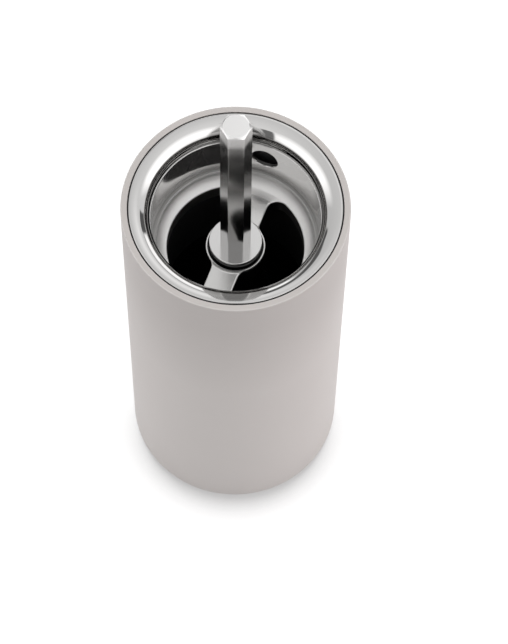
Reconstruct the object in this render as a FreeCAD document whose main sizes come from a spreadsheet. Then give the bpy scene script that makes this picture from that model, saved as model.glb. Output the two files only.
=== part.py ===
# Hand-cranked spice mill with its lid and crank taken off: an open round body and a lift-out grinding unit.
# Millimetres, +Z up. The origin is the middle of the base, on the surface that the mill stands on.
import FreeCAD, Part
import math
import os

import Sketcher

# Driving sizes, one sheet cell each

SIZES = {
    # Body: a straight round beaker
    "body_radius": 34.0,
    "rim_height": 145.5,
    "rim_land": 2.0,
    "rim_edge": 0.5,
    "base_edge": 3.0,
    "body_wall": 3.4,
    "floor_thickness": 4.0,
    # Foot pad under the body
    "pad_inset": 5.0,
    "pad_thickness": 0.5,
    # Flange of the grinding unit in the mouth of the body, and the seal round it
    "flange_thickness": 3.0,
    "seal_width": 0.33,
    "seal_sink": 0.12,
    # Funnel ring: a flat rim that rolls over into the mouth of the hopper
    "flange_land": 0.62,
    "roll_radius": 5.6,
    "lip_land": 0.5,
    "skirt_wall": 1.5,
    "skirt_depth": 10.0,
    # Hopper cup
    "lip_step": 0.15,
    "cup_wall": 1.0,
    "cup_draft": 0.45,
    "hopper_depth": 22.0,
    "catch_radius": 4.0,
    "catch_depth": 13.6,
    # Bearing bridge: dished ring, hub and two arms, cut from one disc
    "arm_angle": 69.6,
    "bridge_depth": 9.0,
    "ledge_width": 1.25,
    "bowl_width": 3.25,
    "bowl_drop": 3.4,
    "bowl_lean": 0.48,
    "bowl_fall": 2.85,
    "arm_half_width": 4.35,
    "window_fillet": 3.4,
    "web_slope": 0.25,
    "hub_wall": 3.0,
    "hub_rise": 1.0,
    "hub_lip": 0.55,
    "hub_length": 22.5,
    # Bushes in the hub
    "bush_wall": 2.0,
    "bush_length": 8.0,
    "bush_flange": 1.5,
    # Drive shaft and its collar
    "post_across": 8.0,
    "post_rise": 48.3,
    "post_chamfer": 0.35,
    "post_chamfer_drop": 0.2,
    "collar_gap": 0.45,
    "collar_rise": 3.2,
    "collar_sink": 2.0,
    "collar_edge": 0.2,
    "journal_step": 0.05,
    "drive_step": 1.6,
    "screw_step": 0.2,
    "screw_chamfer": 0.5,
    "shaft_end": 4.6,
    "washer_inset": 1.6,
    "washer_thickness": 1.0,
    "clip_reach": 1.4,
    "clip_thickness": 0.8,
    "clip_groove": 0.5,
    "clip_gap": 0.5,
    # Spring between the washer and the inner burr
    "spring_play": 0.65,
    "spring_wire": 0.8,
    "spring_margin": 0.4,
    "spring_show": 4.05,
    "spring_seat": 6.0,
    # Burrs
    "burr_height": 27.0,
    "burr_top_wall": 2.6,
    "burr_back": 2.0,
    "burr_taper": 1.0,
    "burr_gap": 0.45,
    "ring_inset": 6.3,
    "ring_wall": 4.5,
    "ring_height": 24.0,
    "ring_flare": 1.2,
    "fine_height": 9.0,
    "fine_teeth": 24,
    "fine_width": 1.9,
    "fine_depth": 0.9,
    "fine_twist": 14.0,
    "coarse_teeth": 6,
    "coarse_width": 4.4,
    "coarse_depth": 1.9,
    "coarse_twist": 26.0,
    "flute_reach": 0.6,
    "flute_lean": 0.3,
    "grind_travel": 1.5,
    # Click plate under the inner burr, and the adjusting nut with its two sprung pins
    "plate_play": 0.6,
    "plate_inset": 2.2,
    "plate_thickness": 1.0,
    "notch_count": 12,
    "notch_half_width": 0.8,
    "notch_wall": 1.35,
    "nut_inset": 5.0,
    "nut_sides": 12,
    "nut_height": 5.6,
    "nut_gap": 0.4,
    "nut_boss_wall": 3.0,
    "click_radius": 1.2,
    "click_length": 2.4,
    "click_bore_depth": 4.6,
    # Housing of the grinding unit, and the keys that stop the bridge from turning in it
    "housing_play": 0.3,
    "throat_inset": 0.7,
    "rib_count": 3,
    "rib_rise": 1.1,
    "rib_width": 4.6,
    "rib_length": 14.0,
    "key_inset": 0.9,
    "key_reach": 3.0,
    "key_half_width": 1.5,
    "key_half_height": 3.0,
    # Ring that clamps the outer burr, and its screws
    "clamp_inset": 0.3,
    "clamp_cover": 2.1,
    "clamp_thickness": 2.5,
    "clamp_screws": 3,
    "bolt_inset": 3.2,
    "bolt_radius": 1.25,
    "bolt_length": 9.0,
    "bolt_head_radius": 2.3,
    "bolt_head_height": 1.4,
    "bolt_socket_across": 2.0,
    "bolt_socket_depth": 0.9,
    # Clearances
    "press_clearance": 0.02,
    "running_clearance": 0.05,
    "slide_clearance": 0.2,
}

doc = FreeCAD.newDocument("spice_mill")
sheet = doc.addObject("Spreadsheet::Sheet", "sizes")
for row, (alias, number) in enumerate(SIZES.items(), start=1):
    sheet.set(f"A{row}", str(number))
    sheet.setAlias(f"A{row}", alias)
doc.recompute()


FULL_TURN = 360.0


class Size:
    """A length, angle or count: its number, and the formula of sheet cells that gives it."""

    def __init__(self, number, formula):
        self.number = float(number)
        self.formula = formula

    def join(self, other, sign, number):
        return Size(number, f"({self.formula} {sign} {other.formula})")

    def __add__(self, other):
        other = sized(other)
        return self.join(other, "+", self.number + other.number)

    def __sub__(self, other):
        other = sized(other)
        return self.join(other, "-", self.number - other.number)

    def __mul__(self, other):
        other = sized(other)
        return self.join(other, "*", self.number * other.number)

    def __truediv__(self, other):
        other = sized(other)
        return self.join(other, "/", self.number / other.number)

    def __neg__(self):
        return Size(-self.number, f"(0 - {self.formula})")


def sized(value):
    """A plain number made into a Size, so that formulas can hold it."""
    if isinstance(value, Size):
        return value
    return Size(value, repr(float(value)))


class Named:
    """Every cell of the sheet as an attribute."""


s = Named()
for alias, number in SIZES.items():
    setattr(s, alias, Size(number, f"sizes.{alias}"))

# Heights that more than one piece shares

body_foot = s.pad_thickness
floor_top = body_foot + s.floor_thickness
rim = s.rim_height
flange_foot = rim - s.flange_thickness
cup_top = rim - s.roll_radius - s.lip_land
cup_foot = rim - s.hopper_depth
bridge_foot = cup_foot - s.bridge_depth
web_top = cup_foot - s.bowl_drop
hub_top = web_top + s.hub_rise
hub_foot = hub_top - s.hub_length
collar_top = hub_top + s.collar_rise
collar_foot = hub_top - s.collar_sink
bush_top = collar_foot - s.running_clearance
bush_shoulder = bush_top - s.bush_flange
washer_top = hub_foot - s.running_clearance
washer_foot = washer_top - s.washer_thickness
burr_top = washer_foot - s.spring_show
burr_foot = burr_top - s.burr_height
burr_edge = burr_foot + s.burr_back
fine_top = burr_edge + s.fine_height
ring_foot = burr_foot - s.burr_taper
ring_top = ring_foot + s.ring_height
spring_foot = burr_top - s.spring_seat
plate_foot = burr_foot - s.plate_thickness
nut_top = plate_foot - s.nut_gap
nut_foot = nut_top - s.nut_height
click_top = plate_foot - s.running_clearance
clip_top = nut_foot - s.grind_travel - s.clip_gap
clip_foot = clip_top - s.clip_thickness
shaft_foot = nut_foot - s.shaft_end
clamp_foot = ring_foot - s.clamp_thickness

# Radii from the body inwards, each taken from the one outside it

seat_radius = s.body_radius - s.rim_land
chamber_radius = s.body_radius - s.body_wall
flange_radius = seat_radius - s.seal_width
mouth_radius = flange_radius - s.flange_land
lip_radius = mouth_radius - s.roll_radius
cup_radius = lip_radius - s.lip_step
cup_outside = cup_radius + s.cup_wall
skirt_bore = cup_outside + s.running_clearance
bridge_radius = skirt_bore + s.skirt_wall
ledge_radius = cup_radius - s.ledge_width
window_radius = ledge_radius - s.bowl_width
throat_radius = window_radius + s.throat_inset
key_inside = throat_radius + s.key_inset
housing_radius = chamber_radius - s.housing_play
ring_radius = housing_radius - s.ring_inset
burr_radius = ring_radius - s.ring_wall
clamp_circle = ring_radius + s.bolt_inset
nut_radius = burr_radius - s.nut_inset
plate_radius = nut_radius - s.plate_inset

# Radii from the shaft outwards

journal_radius = s.post_across / 2 - s.journal_step
journal_bore = journal_radius + s.running_clearance
bush_radius = journal_bore + s.bush_wall
hub_radius = bush_radius + s.hub_wall
counterbore = hub_radius - s.hub_lip
drive_across = s.post_across - s.drive_step
screw_radius = drive_across / 2 - s.screw_step
clip_root = screw_radius - s.clip_groove
spring_inside = journal_radius + s.spring_play
spring_outside = spring_inside + s.spring_wire
burr_bore = spring_outside + s.spring_margin
burr_top_radius = burr_bore + s.burr_top_wall
nut_boss_radius = screw_radius + s.nut_boss_wall
plate_bore = nut_boss_radius + s.plate_play
click_circle = (plate_bore + plate_radius) / 2
burr_slope = (burr_radius - burr_top_radius) / (s.burr_height - s.burr_back)


def burr_cone(height):
    """Radius of the inner burr's cone at a height."""
    return burr_radius - (height - burr_edge) * burr_slope


def ring_cone(height):
    """Radius of the outer burr's cone, a gap outside the inner one."""
    return burr_cone(height) + s.burr_gap


# A round stretch is drawn as a few short chords, so that the solids stay light.
# The weight of a bend is the cosine of half its turn: this one is a quarter turn's, and the bowl's is smaller

QUARTER = 0.5 ** 0.5
BOWL = 0.847


def bend(start, corner, end, chords, weight=QUARTER):
    """Points of the arc that leaves start towards the corner and reaches end from it, without start itself.

    Each point is a weighted mean of the three, with the shares of a rational curve of the second degree."""
    points = []
    for step in range(1, chords + 1):
        part = step / chords
        shares = ((1 - part) ** 2, 2 * weight * part * (1 - part), part ** 2)
        whole = sum(shares)
        points.append(tuple(sized(a) * (shares[0] / whole) + sized(b) * (shares[1] / whole)
                            + sized(c) * (shares[2] / whole) for a, b, c in zip(start, corner, end)))
    return points


# Sketches and features


def origin_part(body, role):
    """One of the body's own origin planes or axes."""
    for feature in body.Origin.OriginFeatures:
        if feature.Role == role:
            return feature
    raise ValueError(role)


def sub_part(name):
    """A new body, whose label names its file."""
    body = doc.addObject("PartDesign::Body", name)
    body.Label = name
    return body


def about_z(degrees):
    """A turn about Z."""
    return FreeCAD.Placement(FreeCAD.Vector(), FreeCAD.Rotation(FreeCAD.Vector(0, 0, 1), degrees))


def sketch_on(body, role, name, height=None, turn=None):
    """A sketch on an origin plane, lifted along its normal and turned about it where asked."""
    sketch = body.newObject("Sketcher::SketchObject", name)
    sketch.AttachmentSupport = [(origin_part(body, role), "")]
    sketch.MapMode = "FlatFace"
    if height is not None:
        sketch.setExpression("AttachmentOffset.Base.z", height.formula)
    if turn is not None:
        sketch.AttachmentOffset = about_z(1.0)
        sketch.setExpression("AttachmentOffset.Rotation.Angle", turn.formula)
        if height is not None:
            sketch.setExpression("AttachmentOffset.Base.z", height.formula)
    return sketch


def fix(sketch, kind, geometry, point, value):
    """Holds one coordinate of a point at a size, or the point on the axis where the size is zero."""
    if isinstance(value, Size):
        index = sketch.addConstraint(Sketcher.Constraint(kind, -1, 1, geometry, point, value.number))
        sketch.setExpression(f"Constraints[{index}]", value.formula)
    else:
        axis = -2 if kind == "DistanceX" else -1
        sketch.addConstraint(Sketcher.Constraint("PointOnObject", geometry, point, axis))


def hold_radius(sketch, geometry, radius):
    """Holds an arc or circle at a radius."""
    index = sketch.addConstraint(Sketcher.Constraint("Radius", geometry, radius.number))
    sketch.setExpression(f"Constraints[{index}]", radius.formula)


def vector(x, y):
    return FreeCAD.Vector(sized(x).number, sized(y).number, 0)


def outline(sketch, corners):
    """A closed outline of straight lines through (x, y) corners."""
    count = len(corners)
    for index in range(count):
        line = Part.LineSegment(vector(*corners[index - 1]), vector(*corners[index]))
        sketch.addGeometry(line, False)
    for index in range(count):
        sketch.addConstraint(Sketcher.Constraint("Coincident", index, 2, (index + 1) % count, 1))
    for index, (x, y) in enumerate(corners):
        fix(sketch, "DistanceX", index, 2, x)
        fix(sketch, "DistanceY", index, 2, y)
    return sketch


def circle(sketch, radius, x=0, y=0):
    """A circle about a point of the sketch."""
    index = sketch.addGeometry(Part.Circle(vector(x, y), FreeCAD.Vector(0, 0, 1), radius.number), False)
    fix(sketch, "DistanceX", index, 3, x)
    fix(sketch, "DistanceY", index, 3, y)
    hold_radius(sketch, index, radius)
    return sketch


def polygon(sketch, across, sides=6):
    """A regular polygon about the sketch's origin, of a width across its flats, with a corner on +X."""
    reach = across / (2 * math.cos(math.pi / sides))
    turn = 2 * math.pi / sides
    points = [vector(reach.number * math.cos(k * turn), reach.number * math.sin(k * turn))
              for k in range(sides)]
    for k in range(sides):
        sketch.addGeometry(Part.LineSegment(points[k], points[(k + 1) % sides]), False)
    guide = sketch.addGeometry(Part.Circle(FreeCAD.Vector(), FreeCAD.Vector(0, 0, 1), reach.number), True)
    sketch.addConstraint(Sketcher.Constraint("Coincident", guide, 3, -1, 1))
    for k in range(sides):
        sketch.addConstraint(Sketcher.Constraint("Coincident", k, 2, (k + 1) % sides, 1))
        sketch.addConstraint(Sketcher.Constraint("PointOnObject", k, 1, guide))
    for k in range(sides - 1):
        sketch.addConstraint(Sketcher.Constraint("Equal", k, k + 1))
    sketch.addConstraint(Sketcher.Constraint("PointOnObject", 0, 1, -1))
    hold_radius(sketch, guide, reach)
    return sketch


def revolve(body, corners, name="turned_profile"):
    """A solid turned about Z from a profile of (radius, height) corners."""
    feature = body.newObject("PartDesign::Revolution", name)
    feature.Profile = outline(sketch_on(body, "XZ_Plane", f"{name}_sketch"), corners)
    feature.ReferenceAxis = (feature.Profile[0], ["V_Axis"])
    feature.Angle = FULL_TURN
    body.Tip = feature
    return feature


def groove(body, corners, name):
    """A cut turned about Z."""
    feature = body.newObject("PartDesign::Groove", name)
    feature.Profile = outline(sketch_on(body, "XZ_Plane", f"{name}_sketch"), corners)
    feature.ReferenceAxis = (feature.Profile[0], ["V_Axis"])
    feature.Angle = FULL_TURN
    body.Tip = feature
    return feature


def pad(body, sketch, length, name):
    """A solid drawn upwards from a sketch."""
    feature = body.newObject("PartDesign::Pad", name)
    feature.Profile = sketch
    feature.setExpression("Length", length.formula)
    body.Tip = feature
    return feature


def pocket(body, sketch, length, name, reverse=False):
    """A cut from a sketch against its normal, or along it where reverse is set."""
    feature = body.newObject("PartDesign::Pocket", name)
    feature.Profile = sketch
    feature.setExpression("Length", length.formula)
    feature.Reversed = reverse
    body.Tip = feature
    return feature


def around(body, feature, count, name):
    """Copies of a feature spaced evenly about Z."""
    pattern = body.newObject("PartDesign::PolarPattern", name)
    pattern.Originals = [feature]
    pattern.Axis = (origin_part(body, "Z_Axis"), [""])
    pattern.Angle = FULL_TURN
    pattern.setExpression("Occurrences", count.formula)
    body.Tip = pattern
    return pattern


def turned(body, angle):
    """Turns a whole sub-part about Z."""
    body.Placement = about_z(1.0)
    body.setExpression("Placement.Rotation.Angle", angle.formula)


def tooth_cuts(body, count, width, depth, twist, low, high, radius_at, inward, name):
    """Slanting saw-tooth flutes round a cone, each a three-sided cut that runs straight from low to high.

    The flute's root lies a depth inside the metal and leans to one side of its mouth, which stands clear."""
    side = -1.0 if inward else 1.0
    root = radius_at(low) - depth * side
    mouth = radius_at(low) + depth * s.flute_reach * side
    sketch = outline(sketch_on(body, "XY_Plane", f"{name}_sketch", low),
                     [(mouth, -width / 2), (mouth, width / 2), (root, width * s.flute_lean)])
    flute = body.newObject("PartDesign::Pocket", name)
    flute.Profile = sketch
    flute.Reversed = True
    flute.UseCustomVector = True
    far = radius_at(high).formula
    near = radius_at(low).formula
    turn = twist.formula
    flute.Direction = FreeCAD.Vector(0, 0, -1)
    flute.setExpression("Direction.x", f"{near} - {far} * cos({turn})")
    flute.setExpression("Direction.y", f"-({far}) * sin({turn})")
    flute.setExpression("Direction.z", f"-({(high - low).formula})")
    flute.setExpression("Length", (high - low).formula)
    body.Tip = flute
    return around(body, flute, count, f"{name}_all")


# Body


def body_shell():
    """Beaker with a closed floor and a stepped mouth, with grooves for the ribs of the grinding unit."""
    body = sub_part("body_shell")
    corner = (s.body_radius, body_foot)
    revolve(body, [
        (0, body_foot),
        (s.body_radius - s.base_edge, body_foot),
        *bend((s.body_radius - s.base_edge, body_foot), corner, (s.body_radius, body_foot + s.base_edge), 3),
        (s.body_radius, rim - s.rim_edge),
        (s.body_radius - s.rim_edge, rim),
        (seat_radius, rim),
        (seat_radius, flange_foot),
        (chamber_radius, flange_foot),
        (chamber_radius, floor_top),
        (0, floor_top),
    ])
    half = s.rib_width / 2 + s.slide_clearance
    reach = housing_radius + s.rib_rise + s.slide_clearance
    inner = chamber_radius - s.flange_thickness
    sketch = outline(sketch_on(body, "XY_Plane", "rib_groove_sketch", flange_foot),
                     [(inner, -half), (reach, -half), (reach, half), (inner, half)])
    cut = pocket(body, sketch, s.rib_length + s.slide_clearance, "rib_groove")
    around(body, cut, s.rib_count, "rib_grooves")
    turned(body, s.arm_angle)


def base_pad():
    """Thin soft disc under the body."""
    body = sub_part("base_pad")
    pad(body, circle(sketch_on(body, "XY_Plane", "pad_sketch"), s.body_radius - s.pad_inset),
        s.pad_thickness, "disc")


# Grinding unit: the fixed pieces


def funnel_ring():
    """Steel ring whose flat rim rolls over into the mouth, with a skirt that sits in the housing."""
    body = sub_part("funnel_ring")
    skirt_foot = rim - s.skirt_depth
    roll_end = rim - s.roll_radius
    revolve(body, [
        (bridge_radius, skirt_foot),
        (bridge_radius, flange_foot),
        (flange_radius, flange_foot),
        (flange_radius, rim),
        (mouth_radius, rim),
        *bend((mouth_radius, rim), (lip_radius, rim), (lip_radius, roll_end), 5),
        (lip_radius, cup_top),
        (skirt_bore, cup_top),
        (skirt_bore, skirt_foot),
    ])


def seal_ring():
    """Soft ring between the flange and the body, a little below the rim."""
    body = sub_part("seal_ring")
    inner = flange_radius + s.press_clearance
    outer = seat_radius - s.press_clearance
    foot = flange_foot + s.press_clearance
    top = rim - s.seal_sink
    revolve(body, [(inner, foot), (outer, foot), (outer, top), (inner, top)])


def hopper_cup():
    """Wall of the hopper, a little narrower at its foot, with the catch hole on the line of the arms."""
    body = sub_part("hopper_cup")
    revolve(body, [
        (cup_radius - s.cup_draft, cup_foot),
        (cup_outside, cup_foot),
        (cup_outside, cup_top),
        (cup_radius, cup_top),
    ])
    sketch = circle(sketch_on(body, "YZ_Plane", "catch_hole_sketch"), s.catch_radius, 0, rim - s.catch_depth)
    pocket(body, sketch, cup_outside + s.cup_wall, "catch_hole", reverse=True)
    turned(body, s.arm_angle)


def bearing_bridge():
    """Dished ring, hub and two arms in one piece: a turned disc with two kidney windows."""
    body = sub_part("bearing_bridge")
    web_edge = web_top - s.web_slope
    bore = bush_radius + s.press_clearance
    bowl_corner = (ledge_radius - s.bowl_lean, cup_foot - s.bowl_fall)
    revolve(body, [
        (bridge_radius, bridge_foot),
        (bridge_radius, cup_foot),
        (ledge_radius, cup_foot),
        *bend((ledge_radius, cup_foot), bowl_corner, (window_radius, web_edge), 3, BOWL),
        (hub_radius, web_top),
        (hub_radius, hub_top),
        (counterbore, hub_top),
        (counterbore, bush_shoulder),
        (bore, bush_shoulder),
        (bore, hub_foot),
        (hub_radius, hub_foot),
        (hub_radius, bridge_foot),
    ])
    cut = pocket(body, window_sketch(body), s.bridge_depth + s.hopper_depth, "feed_window")
    around(body, cut, sized(2), "feed_windows")
    slot = key_outline(sketch_on(body, "XY_Plane", "key_slot_sketch", bridge_foot), s.press_clearance)
    slots = pocket(body, slot, s.key_half_height + s.press_clearance, "key_slot", reverse=True)
    around(body, slots, sized(2), "key_slots")
    turned(body, s.arm_angle)


def window_sketch(body):
    """Kidney outline of a feed window: hub arc, window arc, two straight sides and four fillets.

    The sketch's X axis runs along the arms, so the straight sides are level and the window opens to +Y."""
    sketch = sketch_on(body, "XY_Plane", "feed_window_sketch", cup_foot)
    hub = hub_radius.number
    outer = window_radius.number
    half = s.arm_half_width.number
    fillet = s.window_fillet.number
    side = half + fillet
    far = math.sqrt((outer - fillet) ** 2 - side ** 2)
    near = math.sqrt((hub + fillet) ** 2 - side ** 2)
    tip = math.atan2(side, far)
    root = math.atan2(side, near)
    half_turn = math.pi
    up = FreeCAD.Vector(0, 0, 1)

    def arc(x, y, radius, begin, end):
        round_line = Part.Circle(FreeCAD.Vector(x, y, 0), up, radius)
        return sketch.addGeometry(Part.ArcOfCircle(round_line, begin, end))

    def level(start, end):
        straight_line = Part.LineSegment(FreeCAD.Vector(start, half, 0), FreeCAD.Vector(end, half, 0))
        return sketch.addGeometry(straight_line)

    window = arc(0, 0, outer, tip, half_turn - tip)
    left_tip = arc(-far, side, fillet, half_turn - tip, 1.5 * half_turn)
    left_side = level(-far, -near)
    left_root = arc(-near, side, fillet, 1.5 * half_turn, 2 * half_turn - root)
    boss = arc(0, 0, hub, root, half_turn - root)
    right_root = arc(near, side, fillet, half_turn + root, 1.5 * half_turn)
    right_side = level(near, far)
    right_tip = arc(far, side, fillet, 1.5 * half_turn, 2 * half_turn + tip)
    joints = [(window, 2, left_tip, 1), (left_tip, 2, left_side, 1), (left_side, 2, left_root, 1),
              (left_root, 2, boss, 2), (boss, 1, right_root, 1), (right_root, 2, right_side, 1),
              (right_side, 2, right_tip, 1), (right_tip, 2, window, 1)]
    for first, first_end, second, second_end in joints:
        sketch.addConstraint(Sketcher.Constraint("Tangent", first, first_end, second, second_end))
    for middle in (window, boss):
        sketch.addConstraint(Sketcher.Constraint("Coincident", middle, 3, -1, 1))
    for straight in (left_side, right_side):
        sketch.addConstraint(Sketcher.Constraint("Horizontal", straight))
        fix(sketch, "DistanceY", straight, 1, s.arm_half_width)
    for round_corner in (left_tip, left_root, right_root, right_tip):
        hold_radius(sketch, round_corner, s.window_fillet)
    hold_radius(sketch, window, window_radius)
    hold_radius(sketch, boss, hub_radius)
    return sketch


def key_outline(sketch, clearance=sized(0)):
    """Plan of a bridge key, at right angles to the arms, or of its slot where a clearance is given."""
    half = s.key_half_width + clearance
    near = key_inside - clearance
    far = key_inside + s.key_reach + clearance
    return outline(sketch, [(-half, near), (half, near), (half, far), (-half, far)])


def bridge_key(name, angle):
    """Square key between the bridge and the housing, half in each."""
    body = sub_part(name)
    pad(body, key_outline(sketch_on(body, "XY_Plane", "key_sketch", bridge_foot - s.key_half_height)),
        s.key_half_height * 2, "key")
    turned(body, angle)


def upper_bush():
    """Flanged bush under the shaft's collar."""
    body = sub_part("upper_bush")
    flange = counterbore - s.press_clearance
    foot = bush_shoulder - s.bush_length
    revolve(body, [
        (journal_bore, foot),
        (bush_radius, foot),
        (bush_radius, bush_shoulder),
        (flange, bush_shoulder),
        (flange, bush_top),
        (journal_bore, bush_top),
    ])


def lower_bush():
    """Plain bush at the foot of the hub."""
    body = sub_part("lower_bush")
    sleeve(body, journal_bore, bush_radius, hub_foot, hub_foot + s.bush_length)


def sleeve(body, inner, outer, foot, top):
    """A plain ring or tube."""
    revolve(body, [(inner, foot), (outer, foot), (outer, top), (inner, top)])


def mill_housing():
    """Moulded tube that holds the hopper, the bridge and the outer burr, keyed to the body by three ribs."""
    body = sub_part("mill_housing")
    bore = bridge_radius + s.press_clearance
    ring_bore = ring_radius + s.press_clearance
    revolve(body, [
        (bore, flange_foot),
        (bore, bridge_foot),
        (throat_radius, bridge_foot),
        (throat_radius, ring_top),
        (ring_bore, ring_top),
        (ring_bore, ring_foot),
        (housing_radius, ring_foot),
        (housing_radius, flange_foot),
    ])
    inner = (housing_radius + bore) / 2
    reach = housing_radius + s.rib_rise
    half = s.rib_width / 2
    sketch = outline(sketch_on(body, "XY_Plane", "rib_sketch", flange_foot - s.rib_length),
                     [(inner, -half), (reach, -half), (reach, half), (inner, half)])
    rib = pad(body, sketch, s.rib_length, "rib")
    around(body, rib, s.rib_count, "ribs")
    slot = key_outline(sketch_on(body, "XY_Plane", "key_slot_sketch", bridge_foot), s.press_clearance)
    slots = pocket(body, slot, s.key_half_height + s.press_clearance, "key_slot")
    around(body, slots, sized(2), "key_slots")
    thread = circle(sketch_on(body, "XY_Plane", "bolt_hole_sketch", ring_foot),
                    s.bolt_radius + s.press_clearance, clamp_circle, 0)
    bolts = pocket(body, thread, s.bolt_length, "bolt_hole", reverse=True)
    around(body, bolts, s.clamp_screws, "bolt_holes")
    turned(body, s.arm_angle)


def outer_burr():
    """Toothed steel ring: a wide mouth that narrows to the grinding edge."""
    body = sub_part("outer_burr")
    revolve(body, [
        (ring_cone(burr_edge) + s.ring_flare, ring_foot),
        (ring_radius, ring_foot),
        (ring_radius, ring_top),
        (throat_radius, ring_top),
        (ring_cone(fine_top), fine_top),
        (ring_cone(burr_edge), burr_edge),
    ])
    tooth_cuts(body, s.fine_teeth, s.fine_width, s.fine_depth, -s.fine_twist, ring_foot - s.burr_taper,
               fine_top - s.burr_taper, ring_cone, True, "fine_flute")
    turned(body, s.arm_angle)


def clamp_ring():
    """Flat ring that holds the outer burr up in the housing."""
    body = sub_part("clamp_ring")
    sleeve(body, ring_radius - s.clamp_cover, housing_radius - s.clamp_inset, clamp_foot, ring_foot)
    hole = circle(sketch_on(body, "XY_Plane", "bolt_hole_sketch", ring_foot),
                  s.bolt_radius + s.running_clearance, clamp_circle, 0)
    bolts = pocket(body, hole, s.clamp_thickness, "bolt_hole")
    around(body, bolts, s.clamp_screws, "bolt_holes")
    turned(body, s.arm_angle)


def clamp_screw(name, index):
    """Cheese-headed screw with a hexagon socket, under the clamp ring."""
    body = sub_part(name)
    head_foot = -s.bolt_head_height
    tip = s.bolt_length + s.clamp_thickness - s.bolt_radius
    revolve(body, [
        (0, head_foot),
        (s.bolt_head_radius, head_foot),
        (s.bolt_head_radius, 0),
        (s.bolt_radius, 0),
        (s.bolt_radius, tip),
        (0, tip),
    ])
    socket = polygon(sketch_on(body, "XY_Plane", "socket_sketch", head_foot), s.bolt_socket_across)
    pocket(body, socket, s.bolt_socket_depth, "socket", reverse=True)
    spot = s.arm_angle + sized(FULL_TURN * index) / s.clamp_screws
    body.setExpression("Placement.Base.x", f"{clamp_circle.formula} * cos({spot.formula})")
    body.setExpression("Placement.Base.y", f"{clamp_circle.formula} * sin({spot.formula})")
    body.setExpression("Placement.Base.z", clamp_foot.formula)


# Drive shaft and what turns with it


def drive_shaft():
    """Steel bar: a hexagon post, a round journal, a smaller hexagon and a screwed end.

    The crank drives the post, and the smaller hexagon drives the inner burr."""
    body = sub_part("drive_shaft")
    top = rim + s.post_rise
    drive_top = washer_foot - s.running_clearance
    pad(body, polygon(sketch_on(body, "XY_Plane", "post_sketch", collar_foot), s.post_across),
        top - collar_foot, "post")
    pad(body, circle(sketch_on(body, "XY_Plane", "journal_sketch", drive_top), journal_radius),
        collar_foot - drive_top, "journal")
    pad(body, polygon(sketch_on(body, "XY_Plane", "drive_sketch", burr_foot), drive_across),
        drive_top - burr_foot, "drive")
    pad(body, circle(sketch_on(body, "XY_Plane", "screw_sketch", shaft_foot), screw_radius),
        burr_foot - shaft_foot, "screw")
    flat = s.post_across / 2
    groove(body, [
        (s.post_across, top - s.post_chamfer_drop),
        (s.post_across, top + s.post_chamfer),
        (flat - s.post_chamfer, top + s.post_chamfer),
        (flat - s.post_chamfer, top),
        (flat, top - s.post_chamfer_drop),
    ], "post_chamfer_cut")
    clear = screw_radius + s.clip_groove
    groove(body, [(clip_root, clip_foot), (clear, clip_foot), (clear, clip_top), (clip_root, clip_top)],
           "clip_groove_cut")
    wide = screw_radius + s.screw_chamfer
    narrow = screw_radius - s.screw_chamfer
    groove(body, [
        (narrow, shaft_foot - s.screw_chamfer),
        (wide, shaft_foot - s.screw_chamfer),
        (wide, shaft_foot + s.screw_chamfer * 2),
        (narrow, shaft_foot),
    ], "screw_chamfer_cut")


def shaft_collar():
    """Polished disc on the post, which carries the shaft on the upper bush."""
    body = sub_part("shaft_collar")
    edge = counterbore - s.collar_gap
    revolve(body, [
        (0, collar_foot),
        (edge, collar_foot),
        (edge, collar_top - s.collar_edge),
        (edge - s.collar_edge, collar_top),
        (0, collar_top),
    ])
    broach = polygon(sketch_on(body, "XY_Plane", "broach_sketch", collar_top),
                     s.post_across + s.press_clearance * 2)
    pocket(body, broach, collar_top - collar_foot, "broach")


def thrust_washer():
    """Washer between the spring and the foot of the hub."""
    body = sub_part("thrust_washer")
    sleeve(body, journal_bore, hub_radius - s.washer_inset, washer_foot, washer_top)


def burr_spring():
    """Space of the spring that holds the inner burr down on its nut."""
    body = sub_part("burr_spring")
    sleeve(body, spring_inside, spring_outside, spring_foot, washer_foot)


def end_clip():
    """Retaining clip that stops the adjusting nut from running off the shaft."""
    body = sub_part("end_clip")
    sleeve(body, clip_root + s.press_clearance, screw_radius + s.clip_reach,
           clip_foot + s.press_clearance, clip_top - s.press_clearance)
    past = screw_radius + s.clip_reach * 2
    mouth = outline(sketch_on(body, "XY_Plane", "mouth_sketch", clip_top),
                    [(0, -clip_root), (past, -clip_root), (past, clip_root), (0, clip_root)])
    pocket(body, mouth, s.clip_thickness * 2, "mouth")


# Inner burr and its adjustment


def inner_burr():
    """Toothed cone: six deep flutes that draw the seeds down, and fine teeth at the grinding edge."""
    body = sub_part("inner_burr")
    revolve(body, [
        (0, burr_foot),
        (burr_radius - s.burr_taper, burr_foot),
        (burr_radius, burr_edge),
        (burr_top_radius, burr_top),
        (burr_bore, burr_top),
        (burr_bore, spring_foot),
        (0, spring_foot),
    ])
    hole = polygon(sketch_on(body, "XY_Plane", "broach_sketch", spring_foot),
                   drive_across + s.running_clearance * 2)
    pocket(body, hole, spring_foot - burr_foot, "broach")
    tooth_cuts(body, s.fine_teeth, s.fine_width, s.fine_depth, s.fine_twist, burr_foot - s.burr_taper,
               fine_top, burr_cone, False, "fine_flute")
    tooth_cuts(body, s.coarse_teeth, s.coarse_width, s.coarse_depth, s.coarse_twist, fine_top - s.burr_back,
               burr_top + s.burr_taper, burr_cone, False, "coarse_flute")


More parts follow.
